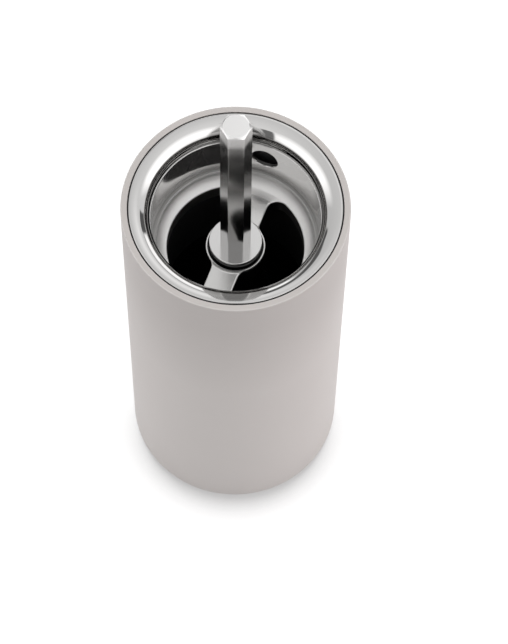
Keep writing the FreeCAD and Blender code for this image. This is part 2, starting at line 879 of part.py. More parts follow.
def click_plate():
    """Notched plate under the inner burr, which the nut's sprung pins click over."""
    body = sub_part("click_plate")
    sleeve(body, plate_bore, plate_radius, plate_foot, burr_foot)
    inner = plate_bore + s.notch_wall
    outer = plate_radius + s.notch_wall
    notch = outline(sketch_on(body, "XY_Plane", "notch_sketch", plate_foot),
                    [(inner, -s.notch_half_width), (outer, -s.notch_half_width),
                     (outer, s.notch_half_width), (inner, s.notch_half_width)])
    cut = pocket(body, notch, s.plate_thickness, "notch", reverse=True)
    around(body, cut, s.notch_count, "notches")


def adjusting_nut():
    """Twelve-sided nut on the shaft's screw, which sets the gap between the burrs."""
    body = sub_part("adjusting_nut")
    bore = screw_radius + s.running_clearance
    pad(body, polygon(sketch_on(body, "XY_Plane", "nut_sketch", nut_foot), nut_radius * 2,
                      int(s.nut_sides.number)), s.nut_height, "nut")
    pad(body, circle(sketch_on(body, "XY_Plane", "boss_sketch", nut_top), nut_boss_radius),
        burr_foot - nut_top, "boss")
    pocket(body, circle(sketch_on(body, "XY_Plane", "bore_sketch", burr_foot), bore),
           burr_foot - nut_foot, "screw_bore")
    hole = circle(sketch_on(body, "XY_Plane", "click_bore_sketch", nut_top),
                  s.click_radius + s.running_clearance, click_circle, 0)
    bores = pocket(body, hole, s.click_bore_depth, "click_bore")
    around(body, bores, sized(2), "click_bores")


def beside_shaft(body, index, height):
    """Places a piece of the click in one of the nut's two bores."""
    side = 1.0 - 2.0 * index
    body.setExpression("Placement.Base.x", (click_circle * side).formula)
    body.setExpression("Placement.Base.z", height.formula)


def click_pin(name, index):
    """Pin that rides in the notches of the click plate."""
    body = sub_part(name)
    pad(body, circle(sketch_on(body, "XY_Plane", "pin_sketch"), s.click_radius), s.click_length, "pin")
    beside_shaft(body, index, click_top - s.click_length)


def click_spring(name, index):
    """Space of the small spring under a click pin."""
    body = sub_part(name)
    foot = nut_top - s.click_bore_depth
    pad(body, circle(sketch_on(body, "XY_Plane", "coil_sketch"), s.click_radius - s.running_clearance),
        click_top - s.click_length - foot, "coil")
    beside_shaft(body, index, foot)


# The whole mill


def build():
    body_shell()
    base_pad()
    funnel_ring()
    seal_ring()
    hopper_cup()
    bearing_bridge()
    for index in range(2):
        bridge_key(f"bridge_key_{index + 1}", s.arm_angle + FULL_TURN / 2 * index)
    upper_bush()
    lower_bush()
    mill_housing()
    outer_burr()
    clamp_ring()
    for index in range(int(s.clamp_screws.number)):
        clamp_screw(f"clamp_screw_{index + 1}", index)
    drive_shaft()
    shaft_collar()
    thrust_washer()
    burr_spring()
    end_clip()
    inner_burr()
    click_plate()
    adjusting_nut()
    for index in range(2):
        click_pin(f"click_pin_{index + 1}", index)
        click_spring(f"click_spring_{index + 1}", index)


def check():
    """Stops where a feature failed, a solid is missing or unsound, or a cut took nothing away."""
    for thing in doc.Objects:
        if "Invalid" in thing.State or "Error" in thing.State:
            raise RuntimeError(f"{thing.Label}: {thing.State}")
        if thing.TypeId in ("PartDesign::Pocket", "PartDesign::Groove"):
            before = thing.BaseFeature.Shape.Volume
            if before - thing.Shape.Volume < 1e-3:
                raise RuntimeError(f"{thing.Label} cuts nothing")
    for body in pieces():
        if body.Shape.isNull() or not body.Shape.isValid() or len(body.Shape.Solids) != 1:
            raise RuntimeError(f"{body.Label} is not one sound solid")


def pieces():
    """Every sub-part of the mill."""
    return [thing for thing in doc.Objects if thing.TypeId == "PartDesign::Body"]


build()
doc.recompute()
check()
os.makedirs("parts", exist_ok=True)
for body in pieces():
    body.Shape.exportStep(f"parts/{body.Label}.step")
    print(f"{body.Label}: {body.Shape.Volume:.1f} mm3")
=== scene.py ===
# %% [markdown]
# # A spice mill with its lid and crank off
# The mill is a straight painted beaker with a steel grinding unit in its mouth. This script dresses the
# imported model: each step first says what the real piece is and why it is made this way, and a short cell
# then makes it. Lengths are written in millimetres, and MM turns them into Blender's metres.

import bmesh
import bpy
import numpy as np
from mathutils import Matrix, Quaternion, Vector


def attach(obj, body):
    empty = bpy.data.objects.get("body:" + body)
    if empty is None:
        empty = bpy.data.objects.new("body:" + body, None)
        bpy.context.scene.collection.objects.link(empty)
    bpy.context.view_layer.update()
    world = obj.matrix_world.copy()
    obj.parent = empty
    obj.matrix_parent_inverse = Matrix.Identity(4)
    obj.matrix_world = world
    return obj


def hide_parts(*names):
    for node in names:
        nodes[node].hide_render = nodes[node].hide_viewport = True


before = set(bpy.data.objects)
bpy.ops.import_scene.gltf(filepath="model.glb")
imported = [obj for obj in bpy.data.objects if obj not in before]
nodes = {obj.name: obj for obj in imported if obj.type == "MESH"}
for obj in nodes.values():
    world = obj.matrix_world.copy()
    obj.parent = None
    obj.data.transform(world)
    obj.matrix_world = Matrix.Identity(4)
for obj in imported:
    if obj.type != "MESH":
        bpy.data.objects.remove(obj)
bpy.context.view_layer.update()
MM = 0.001
FULL_TURN = 2 * np.pi
RIM_MM = 145.5
POST_TOP = 193.8
BODY_RADIUS = 34.0

# %% [markdown]
# ## Camera
# The photograph looks down into the mill at 62 degrees through a long lens. The rim's centre doesn't fall
# in the middle of the picture, so the camera first looks straight at it, and is then turned by the small
# angle that moves it to its place in the frame. That keeps the lens shift at nought.

# %% Camera
PHOTO_HEIGHT_PX = 644
FOCAL_PX = 2798.2
SENSOR_MM = 36.0
NEAREST_MM = 10.0
DISTANCE_MM = 824.3
ELEVATION = np.radians(62.35)
ROLL = 0.0054545
RIM_CENTRE_PX = (-18.91, 115.03)

rim_centre = Vector((0, 0, RIM_MM * MM))
towards_camera = Vector((0, -np.cos(ELEVATION), np.sin(ELEVATION)))
camera = bpy.data.objects.new("camera", bpy.data.cameras.new("camera"))
camera.data.lens = FOCAL_PX / PHOTO_HEIGHT_PX * SENSOR_MM
camera.data.sensor_width = SENSOR_MM
camera.data.clip_start = NEAREST_MM * MM
camera.location = rim_centre + towards_camera * DISTANCE_MM * MM
straight = (-towards_camera).to_track_quat("-Z", "Y")
off_middle = Vector((RIM_CENTRE_PX[0], RIM_CENTRE_PX[1], -FOCAL_PX))
swing = Vector((0, 0, -1)).rotation_difference(off_middle)
camera.rotation_mode = "QUATERNION"
camera.rotation_quaternion = straight @ swing.inverted() @ Quaternion((0, 0, 1), ROLL)
bpy.context.scene.collection.objects.link(camera)
bpy.context.scene.camera = camera
print("camera at", [round(x, 4) for x in camera.location], "lens", round(camera.data.lens, 2))

# %% [markdown]
# ## Surfaces from numpy arrays
# Nearly every piece of the mill is turned on a lathe, so one helper turns a profile about the Z axis.
# Profiles are written as corners with a fillet each, because a real edge is never sharp: the small arcs
# catch the light.

# %% Profiles with rounded corners
ARC_STEPS = 6
GUARD_SHARE = 0.35


def rounded(corners, steps=ARC_STEPS):
    """Points of a closed profile whose corners (x, y, fillet) become arcs.

    An arc starts and ends at fillet / tan(half the corner's angle) from the corner, and its points turn
    evenly from one end to the other about its centre. One more point stands before and after it, on the
    straight sides, so that smooth shading keeps to the arc."""
    corners = [tuple(map(float, c)) for c in corners]
    points = []
    for k, (x, y, fillet) in enumerate(corners):
        here = np.array((x, y))
        if fillet <= 0:
            points.append(here[None])
            continue
        back = np.array(corners[k - 1][:2]) - here
        ahead = np.array(corners[(k + 1) % len(corners)][:2]) - here
        back = back / np.hypot(*back)
        ahead = ahead / np.hypot(*ahead)
        half = np.arccos(np.clip(back @ ahead, -1, 1)) / 2
        reach = fillet / np.tan(half)
        middle = here + (back + ahead) / np.hypot(*(back + ahead)) * fillet / np.sin(half)
        first = here + back * reach - middle
        last = here + ahead * reach - middle
        sweep = np.pi - 2 * half
        t = np.linspace(0, 1, steps + 1)[:, None]
        arc = middle + (np.sin((1 - t) * sweep) * first + np.sin(t * sweep) * last) / np.sin(sweep)
        guard = reach + GUARD_SHARE * fillet
        points += [(here + back * guard)[None], arc, (here + ahead * guard)[None]]
    return np.vstack(points)


def wheel(count):
    """Angles spaced evenly round a full turn."""
    return np.arange(count) / count * FULL_TURN


def quarter(steps):
    """Angles spaced evenly from nought to a quarter turn, both included."""
    return np.linspace(0, np.pi / 2, steps + 1)


# %% Grids of faces
TURNED_COLUMNS = 256


def polar(radius, angle, height):
    """Points at a distance from the axis, an angle and a height: x = r cos(angle), y = r sin(angle)."""
    return np.stack(np.broadcast_arrays(radius * np.cos(angle), radius * np.sin(angle), height), -1)


def sheet(points, around=False, closed=False, flip=False):
    """A grid of points as one part, numbered row by row: a list of points and the faces between neighbours.

    The last column joins the first where the grid goes around, the last row the first where it is closed."""
    rows, columns = points.shape[:2]
    i = np.arange(rows if closed else rows - 1)[:, None]
    j = np.arange(columns if around else columns - 1)[None]
    up, right = (i + 1) % rows * columns, (j + 1) % columns
    faces = np.stack([i * columns + j, i * columns + right, up + right, up + j], -1).reshape(-1, 4)
    return points.reshape(-1, 3), faces[:, ::-1] if flip else faces


def join_parts(*parts):
    """Several (points, faces) parts as one, with the face numbers moved on."""
    offsets = np.cumsum([0] + [len(points) for points, _ in parts[:-1]])
    return np.vstack([p for p, _ in parts]), np.vstack([f + o for (_, f), o in zip(parts, offsets)])


def facing_out(points, faces):
    """A part with its faces outwards: six times the volume is the sum of the triangles' triple products."""
    a, b, c, d = (points[faces[:, k]] for k in range(4))
    volume = np.einsum("ij,ij->", a, np.cross(b, c)) + np.einsum("ij,ij->", a, np.cross(c, d))
    return points, faces if volume > 0 else faces[:, ::-1]


def turned(profile, angles=wheel(TURNED_COLUMNS), shape=None, closed=True):
    """A profile of (radius, height) points turned about Z.

    shape, where given, works out new radii and heights from (radius, height, angle) arrays."""
    radius, height = (np.repeat(profile[:, k, None], len(angles), 1) for k in (0, 1))
    angle = np.repeat(angles[None], len(profile), 0)
    if shape is not None:
        radius, height = shape(radius, height, angle)
    return facing_out(*sheet(polar(radius, angle, height), around=True, closed=closed))


# %% Meshes and pieces
SHARP = np.radians(38)
SAME_POINT = 1e-7
NO_LENGTH = 1e-8


def make_piece(name, parts, body, material, replaces=()):
    """One object from (points in mm, faces) parts: merged, smooth between edges, riding on a body."""
    points, faces = join_parts(*parts)
    mesh = bpy.data.meshes.new(name)
    mesh.from_pydata(points * MM, [], faces)
    work = bmesh.new()
    work.from_mesh(mesh)
    bmesh.ops.remove_doubles(work, verts=work.verts, dist=SAME_POINT)
    bmesh.ops.dissolve_degenerate(work, edges=work.edges, dist=NO_LENGTH)
    work.to_mesh(mesh)
    work.free()
    mesh.polygons.foreach_set("use_smooth", np.ones(len(mesh.polygons), bool))
    mesh.set_sharp_from_angle(angle=SHARP)
    mesh.materials.append(material)
    piece = bpy.data.objects.new(name, mesh)
    bpy.context.scene.collection.objects.link(piece)
    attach(piece, body)
    if replaces:
        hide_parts(*replaces)
    low, high = points.min(0), points.max(0)
    print(f"{name}: {len(mesh.polygons)} faces, heights {low[2]:.2f} to {high[2]:.2f} mm")


# %% [markdown]
# ## Shared shader groups
# Four groups come back on many pieces. Measures are a point's distance from the mill's axis, its height and
# their sum, so that a finish can change from one part of a piece to the next. Smudges change the roughness
# of polished steel. Turning marks are rings round the axis, so they are a noise of the distance and the
# height. Grain is the fine unevenness of paint and moulded plastic. Each is a node group that only gives
# values or normals, and the shader itself stays in the material.

# %% Node helpers
MIX_SOCKETS = {"FLOAT": (2, 3, 0), "RGBA": (6, 7, 2)}


def feed(tree, value, socket):
    """Gives an input its value: a link from another node's output, or a plain number, vector or colour."""
    if isinstance(value, bpy.types.NodeSocket):
        tree.links.new(value, socket)
    else:
        socket.default_value = value


def settle(tree, node, **settings):
    """Gives a node its attributes by name, and its inputs by their names with spaces as underscores."""
    for key, value in settings.items():
        if hasattr(node, key):
            setattr(node, key, value)
        else:
            feed(tree, value, node.inputs[key.replace("_", " ")])
    return node


def add(tree, kind, *values, **settings):
    """A new node with its settings, and with values for its first inputs in their order."""
    node = settle(tree, tree.nodes.new(kind), **settings)
    for socket, value in zip(node.inputs, values):
        feed(tree, value, socket)
    return node


def math(tree, operation, *values, clamp=False):
    """A Math node over numbers or output sockets. Gives its output."""
    return add(tree, "ShaderNodeMath", *values, operation=operation, use_clamp=clamp).outputs[0]


def dot(tree, *vectors):
    """The dot product of two vectors or output sockets. Gives its output."""
    return add(tree, "ShaderNodeVectorMath", *vectors, operation="DOT_PRODUCT").outputs["Value"]


def mix(tree, kind, share, first, second):
    """A number (FLOAT) or a colour (RGBA) between two, by a share from 0 to 1. Gives its output."""
    one, two, out = MIX_SOCKETS[kind]
    node = add(tree, "ShaderNodeMix", share, data_type=kind)
    feed(tree, first, node.inputs[one])
    feed(tree, second, node.inputs[two])
    return node.outputs[out]


# %% Start and end of a group
def new_group(name, **inputs):
    """An empty group and its inputs' sockets. A number is an input's default, and None makes it a vector."""
    group = bpy.data.node_groups.new(name, "ShaderNodeTree")
    for label, default in inputs.items():
        kind = "NodeSocketVector" if default is None else "NodeSocketFloat"
        socket = group.interface.new_socket(label, in_out="INPUT", socket_type=kind)
        if default is not None:
            socket.default_value = default
    return group, group.nodes.new("NodeGroupInput").outputs


def give_out(group, **outputs):
    """Ends a group with its outputs, each of the kind of the socket that feeds it."""
    for label, source in outputs.items():
        kind = "NodeSocketVector" if source.type == "VECTOR" else "NodeSocketFloat"
        group.interface.new_socket(label, in_out="OUTPUT", socket_type=kind)
    add(group, "NodeGroupOutput", *outputs.values())
    return group


def place_group(tree, group, place, **values):
    """One copy of a shared group in a material or another group, with its own values."""
    return add(tree, "ShaderNodeGroup", node_tree=group, Vector=place, **values)


# %% Measures: distance from the axis, height and their sum
def measures_group():
    group, given = new_group("measures", Vector=None)
    x, y, height = add(group, "ShaderNodeSeparateXYZ", given["Vector"]).outputs
    squares = math(group, "ADD", math(group, "MULTIPLY", x, x), math(group, "MULTIPLY", y, y))
    radius = math(group, "SQRT", squares)
    return give_out(group, Radius=radius, Height=height, Sum=math(group, "ADD", radius, height))


MEASURES = measures_group()

# %% Smudges: slow changes of gloss from handling and polishing
def smudge_group():
    group, given = new_group("smudges", Vector=None, Size=90.0, Base=0.1, Spread=0.04)
    cloud = add(group, "ShaderNodeTexNoise", Vector=given["Vector"], Scale=given["Size"],
                Detail=5.0, Roughness=0.62)
    swing = math(group, "MULTIPLY", math(group, "SUBTRACT", cloud.outputs[0], 0.5), given["Spread"])
    rough = math(group, "ADD", given["Base"], math(group, "MULTIPLY", swing, 2.0), clamp=True)
    return give_out(group, Roughness=rough, Mask=cloud.outputs[0])


SMUDGES = smudge_group()

# %% Turning marks and grain: fine noises with a bump
RING_BUMP = 0.00002
GRAIN_BUMP = 0.00005


def end_with_bump(group, noise, depth, distance):
    """Ends a group with a noise as its mask and as a bump, as high as the distance in metres."""
    bump = add(group, "ShaderNodeBump", Height=noise.outputs[0], Strength=depth, Distance=distance)
    return give_out(group, Normal=bump.outputs[0], Mask=noise.outputs[0])


def turning_group():
    group, given = new_group("turning_marks", Vector=None, Rings=9000.0, Depth=0.02)
    measured = place_group(group, MEASURES, given["Vector"]).outputs
    around = add(group, "ShaderNodeCombineXYZ", X=measured["Radius"], Z=measured["Height"]).outputs[0]
    rings = add(group, "ShaderNodeTexNoise", Vector=around, Scale=given["Rings"], Detail=3.0, Roughness=0.7)
    return end_with_bump(group, rings, given["Depth"], RING_BUMP)


def grain_group():
    group, given = new_group("grain", Vector=None, Size=5000.0, Depth=0.1)
    cloud = add(group, "ShaderNodeTexNoise", Vector=given["Vector"], Scale=given["Size"],
                Detail=2.0, Roughness=0.5)
    return end_with_bump(group, cloud, given["Depth"], GRAIN_BUMP)


TURNING = turning_group()
GRAIN = grain_group()
print("shader groups:", [g.name for g in bpy.data.node_groups])

# %% [markdown]
# ## Finishes
# Each finish keeps its own Principled shader, so that its plain numbers stay on the shader's sockets, and
# places the groups with its own values. A zone then changes a finish over a span of one of the measures:
# most zones paint shade or light into the colour, making it darker or lighter than the rest, and some also
# change the roughness or the metal.

# %% Start of a material, and zones
FINISH_SOCKETS = {"colour": "Base Color", "rough": "Roughness", "metal": "Metallic"}


def start_material(name):
    """A material with one Principled shader: the material, its tree, the shader and Object coordinates."""
    material = bpy.data.materials.new(name)
    material.use_nodes = True
    tree = material.node_tree
    tree.nodes.new("ShaderNodeTexCoord")
    return material, tree, *shader_and_place(tree)


def shader_and_place(tree):
    """A material's Principled shader and its Object coordinates."""
    kinds = ("BSDF_PRINCIPLED", "TEX_COORD")
    shader, place = (next(n for n in tree.nodes if n.type == kind) for kind in kinds)
    return shader, place.outputs["Object"]


def zone(material, measure, span, **finish):
    """Changes a finish over a span of a measure, from and to in mm: its colour, roughness or metal."""
    tree = material.node_tree
    shader, place = shader_and_place(tree)
    start, end = span
    measured = place_group(tree, MEASURES, place).outputs[measure]
    share = math(tree, "DIVIDE", math(tree, "SUBTRACT", measured, start * MM), (end - start) * MM, clamp=True)
    for label, value in finish.items():
        socket = shader.inputs[FINISH_SOCKETS[label]]
        kind, new = ("RGBA", (*value, 1)) if label == "colour" else ("FLOAT", value)
        old = socket.links[0].from_socket if socket.links else socket.default_value
        tree.links.new(mix(tree, kind, share, old, new), socket)


# %% Steels and brass
SMUDGE_SIZE = 70.0
ROLLED_UNDER_SHADE = (RIM_MM - 2.0, RIM_MM - 2.7)
WALL_FOOT_SHADE = (128.0, 124.2)
BOWL_SATIN_AND_LIGHT = (17.5, 20.5)
BOWL_EDGE_SHADE = (23.5, 24.3)
UNDER_WEB_SHADE = (119.6, 119.35)
POST_SHADE_BELOW = (187.0, 172.0)
POST_HEAD_HIGHLIGHT = (187.2, 189.6)
POST_END = (POST_TOP - 0.05, POST_TOP - 0.01)


def steel(name, light, dark, base, spread, rings=9000.0, depth=0.02, metal=1.0):
    """Steel between two greys, with smudged gloss and turning marks."""
    material, tree, shader, place = start_material(name)
    smudges = place_group(tree, SMUDGES, place, Size=SMUDGE_SIZE, Base=base, Spread=spread).outputs
    marks = place_group(tree, TURNING, place, Rings=rings, Depth=depth).outputs
    settle(tree, shader, Base_Color=mix(tree, "RGBA", marks["Mask"], (*dark, 1), (*light, 1)),
           Roughness=smudges["Roughness"], Normal=marks["Normal"], Metallic=metal)
    return material


MOUTH = steel("mouth_steel", (0.67, 0.662, 0.655), (0.63, 0.622, 0.615), 0.06, 0.02)
# Painted shade: the roll's underside is made darker, standing in for its dark reflections.
zone(MOUTH, "Height", ROLLED_UNDER_SHADE, colour=(0.34, 0.335, 0.33))
WALL = steel("wall_steel", (0.75, 0.744, 0.736), (0.69, 0.684, 0.677), 0.07, 0.03, 5000.0, 0.03, metal=0.92)
# Painted shade: the wall's lowest few millimetres are darker, where it meets the ledge in a fold.
zone(WALL, "Height", WALL_FOOT_SHADE, colour=(0.48, 0.475, 0.468))
SATIN = steel("satin_steel", (0.72, 0.713, 0.705), (0.66, 0.653, 0.645), 0.19, 0.04, 7000.0, 0.05, metal=0.88)
# The bowl has a rougher, less metallic finish, and its colour is painted lighter as painted light.
zone(SATIN, "Radius", BOWL_SATIN_AND_LIGHT, colour=(0.80, 0.793, 0.785), rough=0.45, metal=0.5)
# Painted shade: a dark ring where the bowl meets the ledge, in the crease under the hopper's wall.
zone(SATIN, "Radius", BOWL_EDGE_SHADE, colour=(0.33, 0.326, 0.32), rough=0.3)
# Painted shade: everything below the web, the windows' walls and the hub, is nearly black, as shade inside
# the mill.
zone(SATIN, "Height", UNDER_WEB_SHADE, colour=(0.30, 0.297, 0.294), metal=1.0)
POST = steel("post_steel", (0.64, 0.635, 0.628), (0.56, 0.555, 0.55), 0.12, 0.04, 2500.0, 0.02)
# Painted shade: the post is darker below its head, standing in for dark reflections on its flats.
zone(POST, "Height", POST_SHADE_BELOW, colour=(0.46, 0.455, 0.45))
# Painted highlight: the post's head is lighter, with less gloss and metal; the end face above keeps that
# lighter colour and is rougher.
zone(POST, "Height", POST_HEAD_HIGHLIGHT, colour=(0.80, 0.795, 0.79), rough=0.22, metal=0.8)
zone(POST, "Height", POST_END, colour=(0.82, 0.815, 0.81), rough=0.4)
COLLAR_STEEL = steel("collar_steel", (0.78, 0.775, 0.77), (0.70, 0.695, 0.69), 0.13, 0.04, 5000.0, 0.03)
PLAIN = steel("plain_steel", (0.66, 0.66, 0.65), (0.56, 0.56, 0.555), 0.32, 0.08, 5000.0, 0.1)
# The burrs' dark coat is painted down to near-black, as painted shade in the voids under the bridge.
BURR_SHADE_BLACK = steel("burr_steel", (0.045, 0.045, 0.05), (0.02, 0.02, 0.022), 0.48, 0.08, 4000.0, 0.15)
BRASS = steel("nut_brass", (0.74, 0.56, 0.29), (0.62, 0.45, 0.21), 0.3, 0.08, 5000.0, 0.1)
# Painted shade: the collar's side is nearly black, as shade in the gap between the collar and the hub.
SIDE_SHADE_STEEL = steel("side_shade_steel", (0.055, 0.055, 0.056), (0.035, 0.035, 0.036), 0.22, 0.05, 6000.0, 0.05)

# %% Paint, rubber and moulded plastic
BLOTCH_SIZE = 45.0
BODY_LOWER_LIGHT = (130.0, 85.0)
RIM_CORNER = BODY_RADIUS + RIM_MM
BODY_EDGE_HIGHLIGHT = (RIM_CORNER - 0.38, RIM_CORNER - 0.3)


def coated(name, light, dark, base, spread, size, depth):
    """A coat between two colours, with grain in its surface and smudges in its gloss."""
    material, tree, shader, place = start_material(name)
    smudges = place_group(tree, SMUDGES, place, Size=BLOTCH_SIZE, Base=base, Spread=spread).outputs
    grain = place_group(tree, GRAIN, place, Size=size, Depth=depth).outputs
    settle(tree, shader, Base_Color=mix(tree, "RGBA", smudges["Mask"], (*dark, 1), (*light, 1)),
           Roughness=smudges["Roughness"], Normal=grain["Normal"])
    return material


SHELL_PAINT = coated("shell_coat", (0.555, 0.529, 0.512), (0.530, 0.505, 0.488), 0.5, 0.06, 6000.0, 0.10)
# Painted light: the body is lighter towards its foot, as light bounced up from the floor.
zone(SHELL_PAINT, "Height", BODY_LOWER_LIGHT, colour=(0.632, 0.606, 0.587))
# Painted highlight: a lighter line on the rim's rounded outer edge, with more gloss.
zone(SHELL_PAINT, "Sum", BODY_EDGE_HIGHLIGHT, colour=(0.62, 0.60, 0.585), rough=0.35)
RUBBER = coated("soft_black", (0.014, 0.014, 0.015), (0.008, 0.008, 0.009), 0.85, 0.08, 4000.0, 0.25)
MOULDED = coated("black_moulding", (0.022, 0.022, 0.023), (0.012, 0.012, 0.013), 0.5, 0.08, 3000.0, 0.2)
print("finishes:", [m.name for m in bpy.data.materials])

# %% [markdown]
# ## Body
# The body is a straight beaker with a flat ring at its top. Its base turns into the side in a round, and
# the rim's two edges are barely broken. Inside, three shallow grooves below the mouth guide the grinding
# unit, so the inner wall is the same turned surface with its radius moved out between doubled columns and
# rows.

# %% Angles with steps for the grooves
ARM_ANGLE = np.radians(69.6)
CHAMBER_RADIUS = 30.6
GROOVES = 3
GROOVE_HALF = 2.5
STEP_GAP = 0.02
CLEAR_GAPS = 2.5


def apart(angles, others):
    """The smallest angle from each of some angles to any of the others."""
    return np.abs((angles[:, None] - others + np.pi) % FULL_TURN - np.pi).min(1)


def grooved_angles():
    """Evenly spaced angles, with two close ones at each side of every groove, so that its sides are steep.

    Gives the angles, and True for those inside a groove."""
    half = np.arcsin(GROOVE_HALF / CHAMBER_RADIUS)
    gap = STEP_GAP / CHAMBER_RADIUS
    middles = ARM_ANGLE + wheel(GROOVES)
    edges = (middles[:, None] + np.array([-half - gap, -half, half, half + gap])).ravel() % FULL_TURN
    even = wheel(TURNED_COLUMNS)
    angles = np.sort(np.concatenate([even[apart(even, edges) > CLEAR_GAPS * gap], edges]))
    return angles, apart(angles, middles) < half + gap / 2


# %% Body shell
SEAT_RADIUS = 32.06
FLANGE_FOOT = 142.5
BODY_FOOT = 0.5
BASE_ROUND = 3.0
BASE_STEPS = 16
FLOOR_TOP = 4.5
GROOVE_FOOT = 128.3
GROOVE_DEPTH = 1.0


def body_parts():
    """The beaker's profile turned, with the chamber's radius a step larger in the three grooves."""
    angles, in_groove = grooved_angles()
    half_way = RIM_MM / 2
    base = rounded([(0, BODY_FOOT, 0), (BODY_RADIUS, BODY_FOOT, BASE_ROUND), (BODY_RADIUS, half_way, 0)],
                   BASE_STEPS)
    rim = rounded([
        (BODY_RADIUS, half_way, 0), (BODY_RADIUS, RIM_MM, 0.3), (SEAT_RADIUS, RIM_MM, 0.08),
        (SEAT_RADIUS, FLANGE_FOOT, 0.1), (CHAMBER_RADIUS, FLANGE_FOOT, 0.1), (CHAMBER_RADIUS, half_way, 0),
    ])
    chamber = np.array([(CHAMBER_RADIUS, GROOVE_FOOT + STEP_GAP), (CHAMBER_RADIUS, GROOVE_FOOT)])
    floor = rounded([(CHAMBER_RADIUS, GROOVE_FOOT, 0), (CHAMBER_RADIUS, FLOOR_TOP, 1.2), (0, FLOOR_TOP, 0)])
    profile = np.vstack([base[:-1], rim[:-1], chamber, floor[1:]])

    def with_grooves(radius, height, _):
        deep = in_groove & (height > GROOVE_FOOT + STEP_GAP / 2)
        deep &= (height < FLANGE_FOOT + STEP_GAP) & (radius < CHAMBER_RADIUS + GROOVE_DEPTH)
        return np.where(deep, CHAMBER_RADIUS + GROOVE_DEPTH, radius), height

    return turned(profile, angles, with_grooves, closed=False)


make_piece("beaker", [body_parts()], "body", SHELL_PAINT, ["body_shell"])

# %% Foot pad
PAD_RADIUS = 29.0
pad_profile = rounded([(0, 0, 0), (PAD_RADIUS, 0, 0.15), (PAD_RADIUS, BODY_FOOT, 0.05), (0, BODY_FOOT, 0)])
make_piece("foot_pad", [turned(pad_profile, closed=False)], "body", RUBBER, ["base_pad"])

# %% [markdown]
# ## Mouth: funnel ring, seal and hopper
# The steel ring starts flat at the rim and rolls over into the hopper on a radius of 5.6 mm. Polished metal
# shows every flat in a mesh, so the roll is a true arc with many points. The hopper's wall is a tube that
# narrows a little to its foot, with one round hole, which is the only shape here that isn't turned.

# %% Funnel ring
FLANGE_RADIUS = 31.60
MOUTH_RADIUS = 31.05
LIP_RADIUS = 25.45
ROLL_RADIUS = MOUTH_RADIUS - LIP_RADIUS
ROLL_STEPS = 40
MOUTH_COLUMNS = 320
LAND_GUARD = 0.2
CUP_TOP = 139.4
SKIRT_FOOT = 135.5
BRIDGE_RADIUS = 27.85
SKIRT_BORE = 26.35


def funnel_profile():
    """Flat land, a quarter circle about (mouth radius, rim less the roll's radius), skirt and flange."""
    turn = quarter(ROLL_STEPS)
    roll = np.stack([MOUTH_RADIUS - ROLL_RADIUS * np.sin(turn), RIM_MM - ROLL_RADIUS * (1 - np.cos(turn))], 1)
    back = rounded([
        (LIP_RADIUS, CUP_TOP, 0.1), (SKIRT_BORE, CUP_TOP, 0.05), (SKIRT_BORE, SKIRT_FOOT, 0.2),
        (BRIDGE_RADIUS, SKIRT_FOOT, 0.2), (BRIDGE_RADIUS, FLANGE_FOOT, 0.1),
        (FLANGE_RADIUS, FLANGE_FOOT, 0.15), (FLANGE_RADIUS, RIM_MM, 0.06),
    ])
    return np.vstack([[(MOUTH_RADIUS + LAND_GUARD, RIM_MM)], roll, back])


funnel = turned(funnel_profile(), wheel(MOUTH_COLUMNS))
make_piece("funnel", [funnel], "mill_unit", MOUTH, ["funnel_ring"])

# %% Seal
SEAL_TOP = RIM_MM - 0.3
SEAL_PLAY = 0.02
seal_foot = FLANGE_FOOT + SEAL_PLAY
seal_inside, seal_outside = FLANGE_RADIUS + SEAL_PLAY, SEAT_RADIUS - SEAL_PLAY
seal_profile = rounded([(seal_inside, seal_foot, 0.05), (seal_outside, seal_foot, 0.05),
                        (seal_outside, SEAL_TOP, 0.13), (seal_inside, SEAL_TOP, 0.13)])
make_piece("mouth_seal", [turned(seal_profile)], "mill_unit", RUBBER, ["seal_ring"])

# %% [markdown]
# The hole is cut into a grid, which has no circle to give. So the wall leaves out a square patch of its
# cells, and rings fill it: they start as the hole's circle and change share by share into the patch's
# square.

# %% Rings round the hopper's hole
CUP_RADIUS = 25.3
CUP_OUTSIDE = 26.3
CUP_FOOT = 123.5
CUP_DRAFT = 0.3
CUP_EDGE = 0.12
CUP_COLUMNS = 200
FOOT_ROWS = 4
TOP_ROWS = 3
EDGE_STEPS = 4
HOLE_RADIUS = 4.2
HOLE_HEIGHT = RIM_MM - 13.6
HOLE_EDGE = 0.12
HOLE_ROUND = ((0.0, 1.0), (0.5, 0.45), (1.0, 0.0))
PATCH_HALF = 5.6
PATCH_CELLS = 24
PATCH_SHARES = (0.15, 0.4, 0.7, 1.0)


def square_ring(share, radius):
    """Points of the patch round the hole, from its circle (share 0) to the patch's square (share 1)."""
    side = np.linspace(-1, 1, PATCH_CELLS + 1)[:-1]
    one = np.ones_like(side)
    square = np.vstack([np.stack(p, 1) for p in ((one, side), (-side, one), (-one, -side), (side, -one))])
    turn = np.arctan2(square[:, 1], square[:, 0])
    circle = np.stack([np.cos(turn), np.sin(turn)], 1) * radius
    return circle * (1 - share) + square * PATCH_HALF * share


def drawn_in(radius, draft, height):
    """The wall's radius at a height: it falls evenly by the draft from the top to the foot."""
    return radius - draft * (CUP_TOP - height) / (CUP_TOP - CUP_FOOT)


def wrap(ring, radius, draft, shift):
    """Points seen along the hole's axis, put on the wall: their distance sideways gives the angle."""
    height = ring[:, 1] + HOLE_HEIGHT
    return polar(drawn_in(radius, draft, height) + shift, np.arcsin(ring[:, 0] / radius) + ARM_ANGLE, height)


# %% Hopper wall with its hole
def wall_columns(radius):
    """Angles round the wall: even steps across the patch as seen along the hole's axis, then even angles."""
    across = np.arcsin(np.linspace(-PATCH_HALF, PATCH_HALF, PATCH_CELLS + 1) / radius)
    beyond = np.linspace(across[-1], FULL_TURN - across[-1], CUP_COLUMNS + 1)[1:-1]
    return np.concatenate([across, beyond]) + ARM_ANGLE


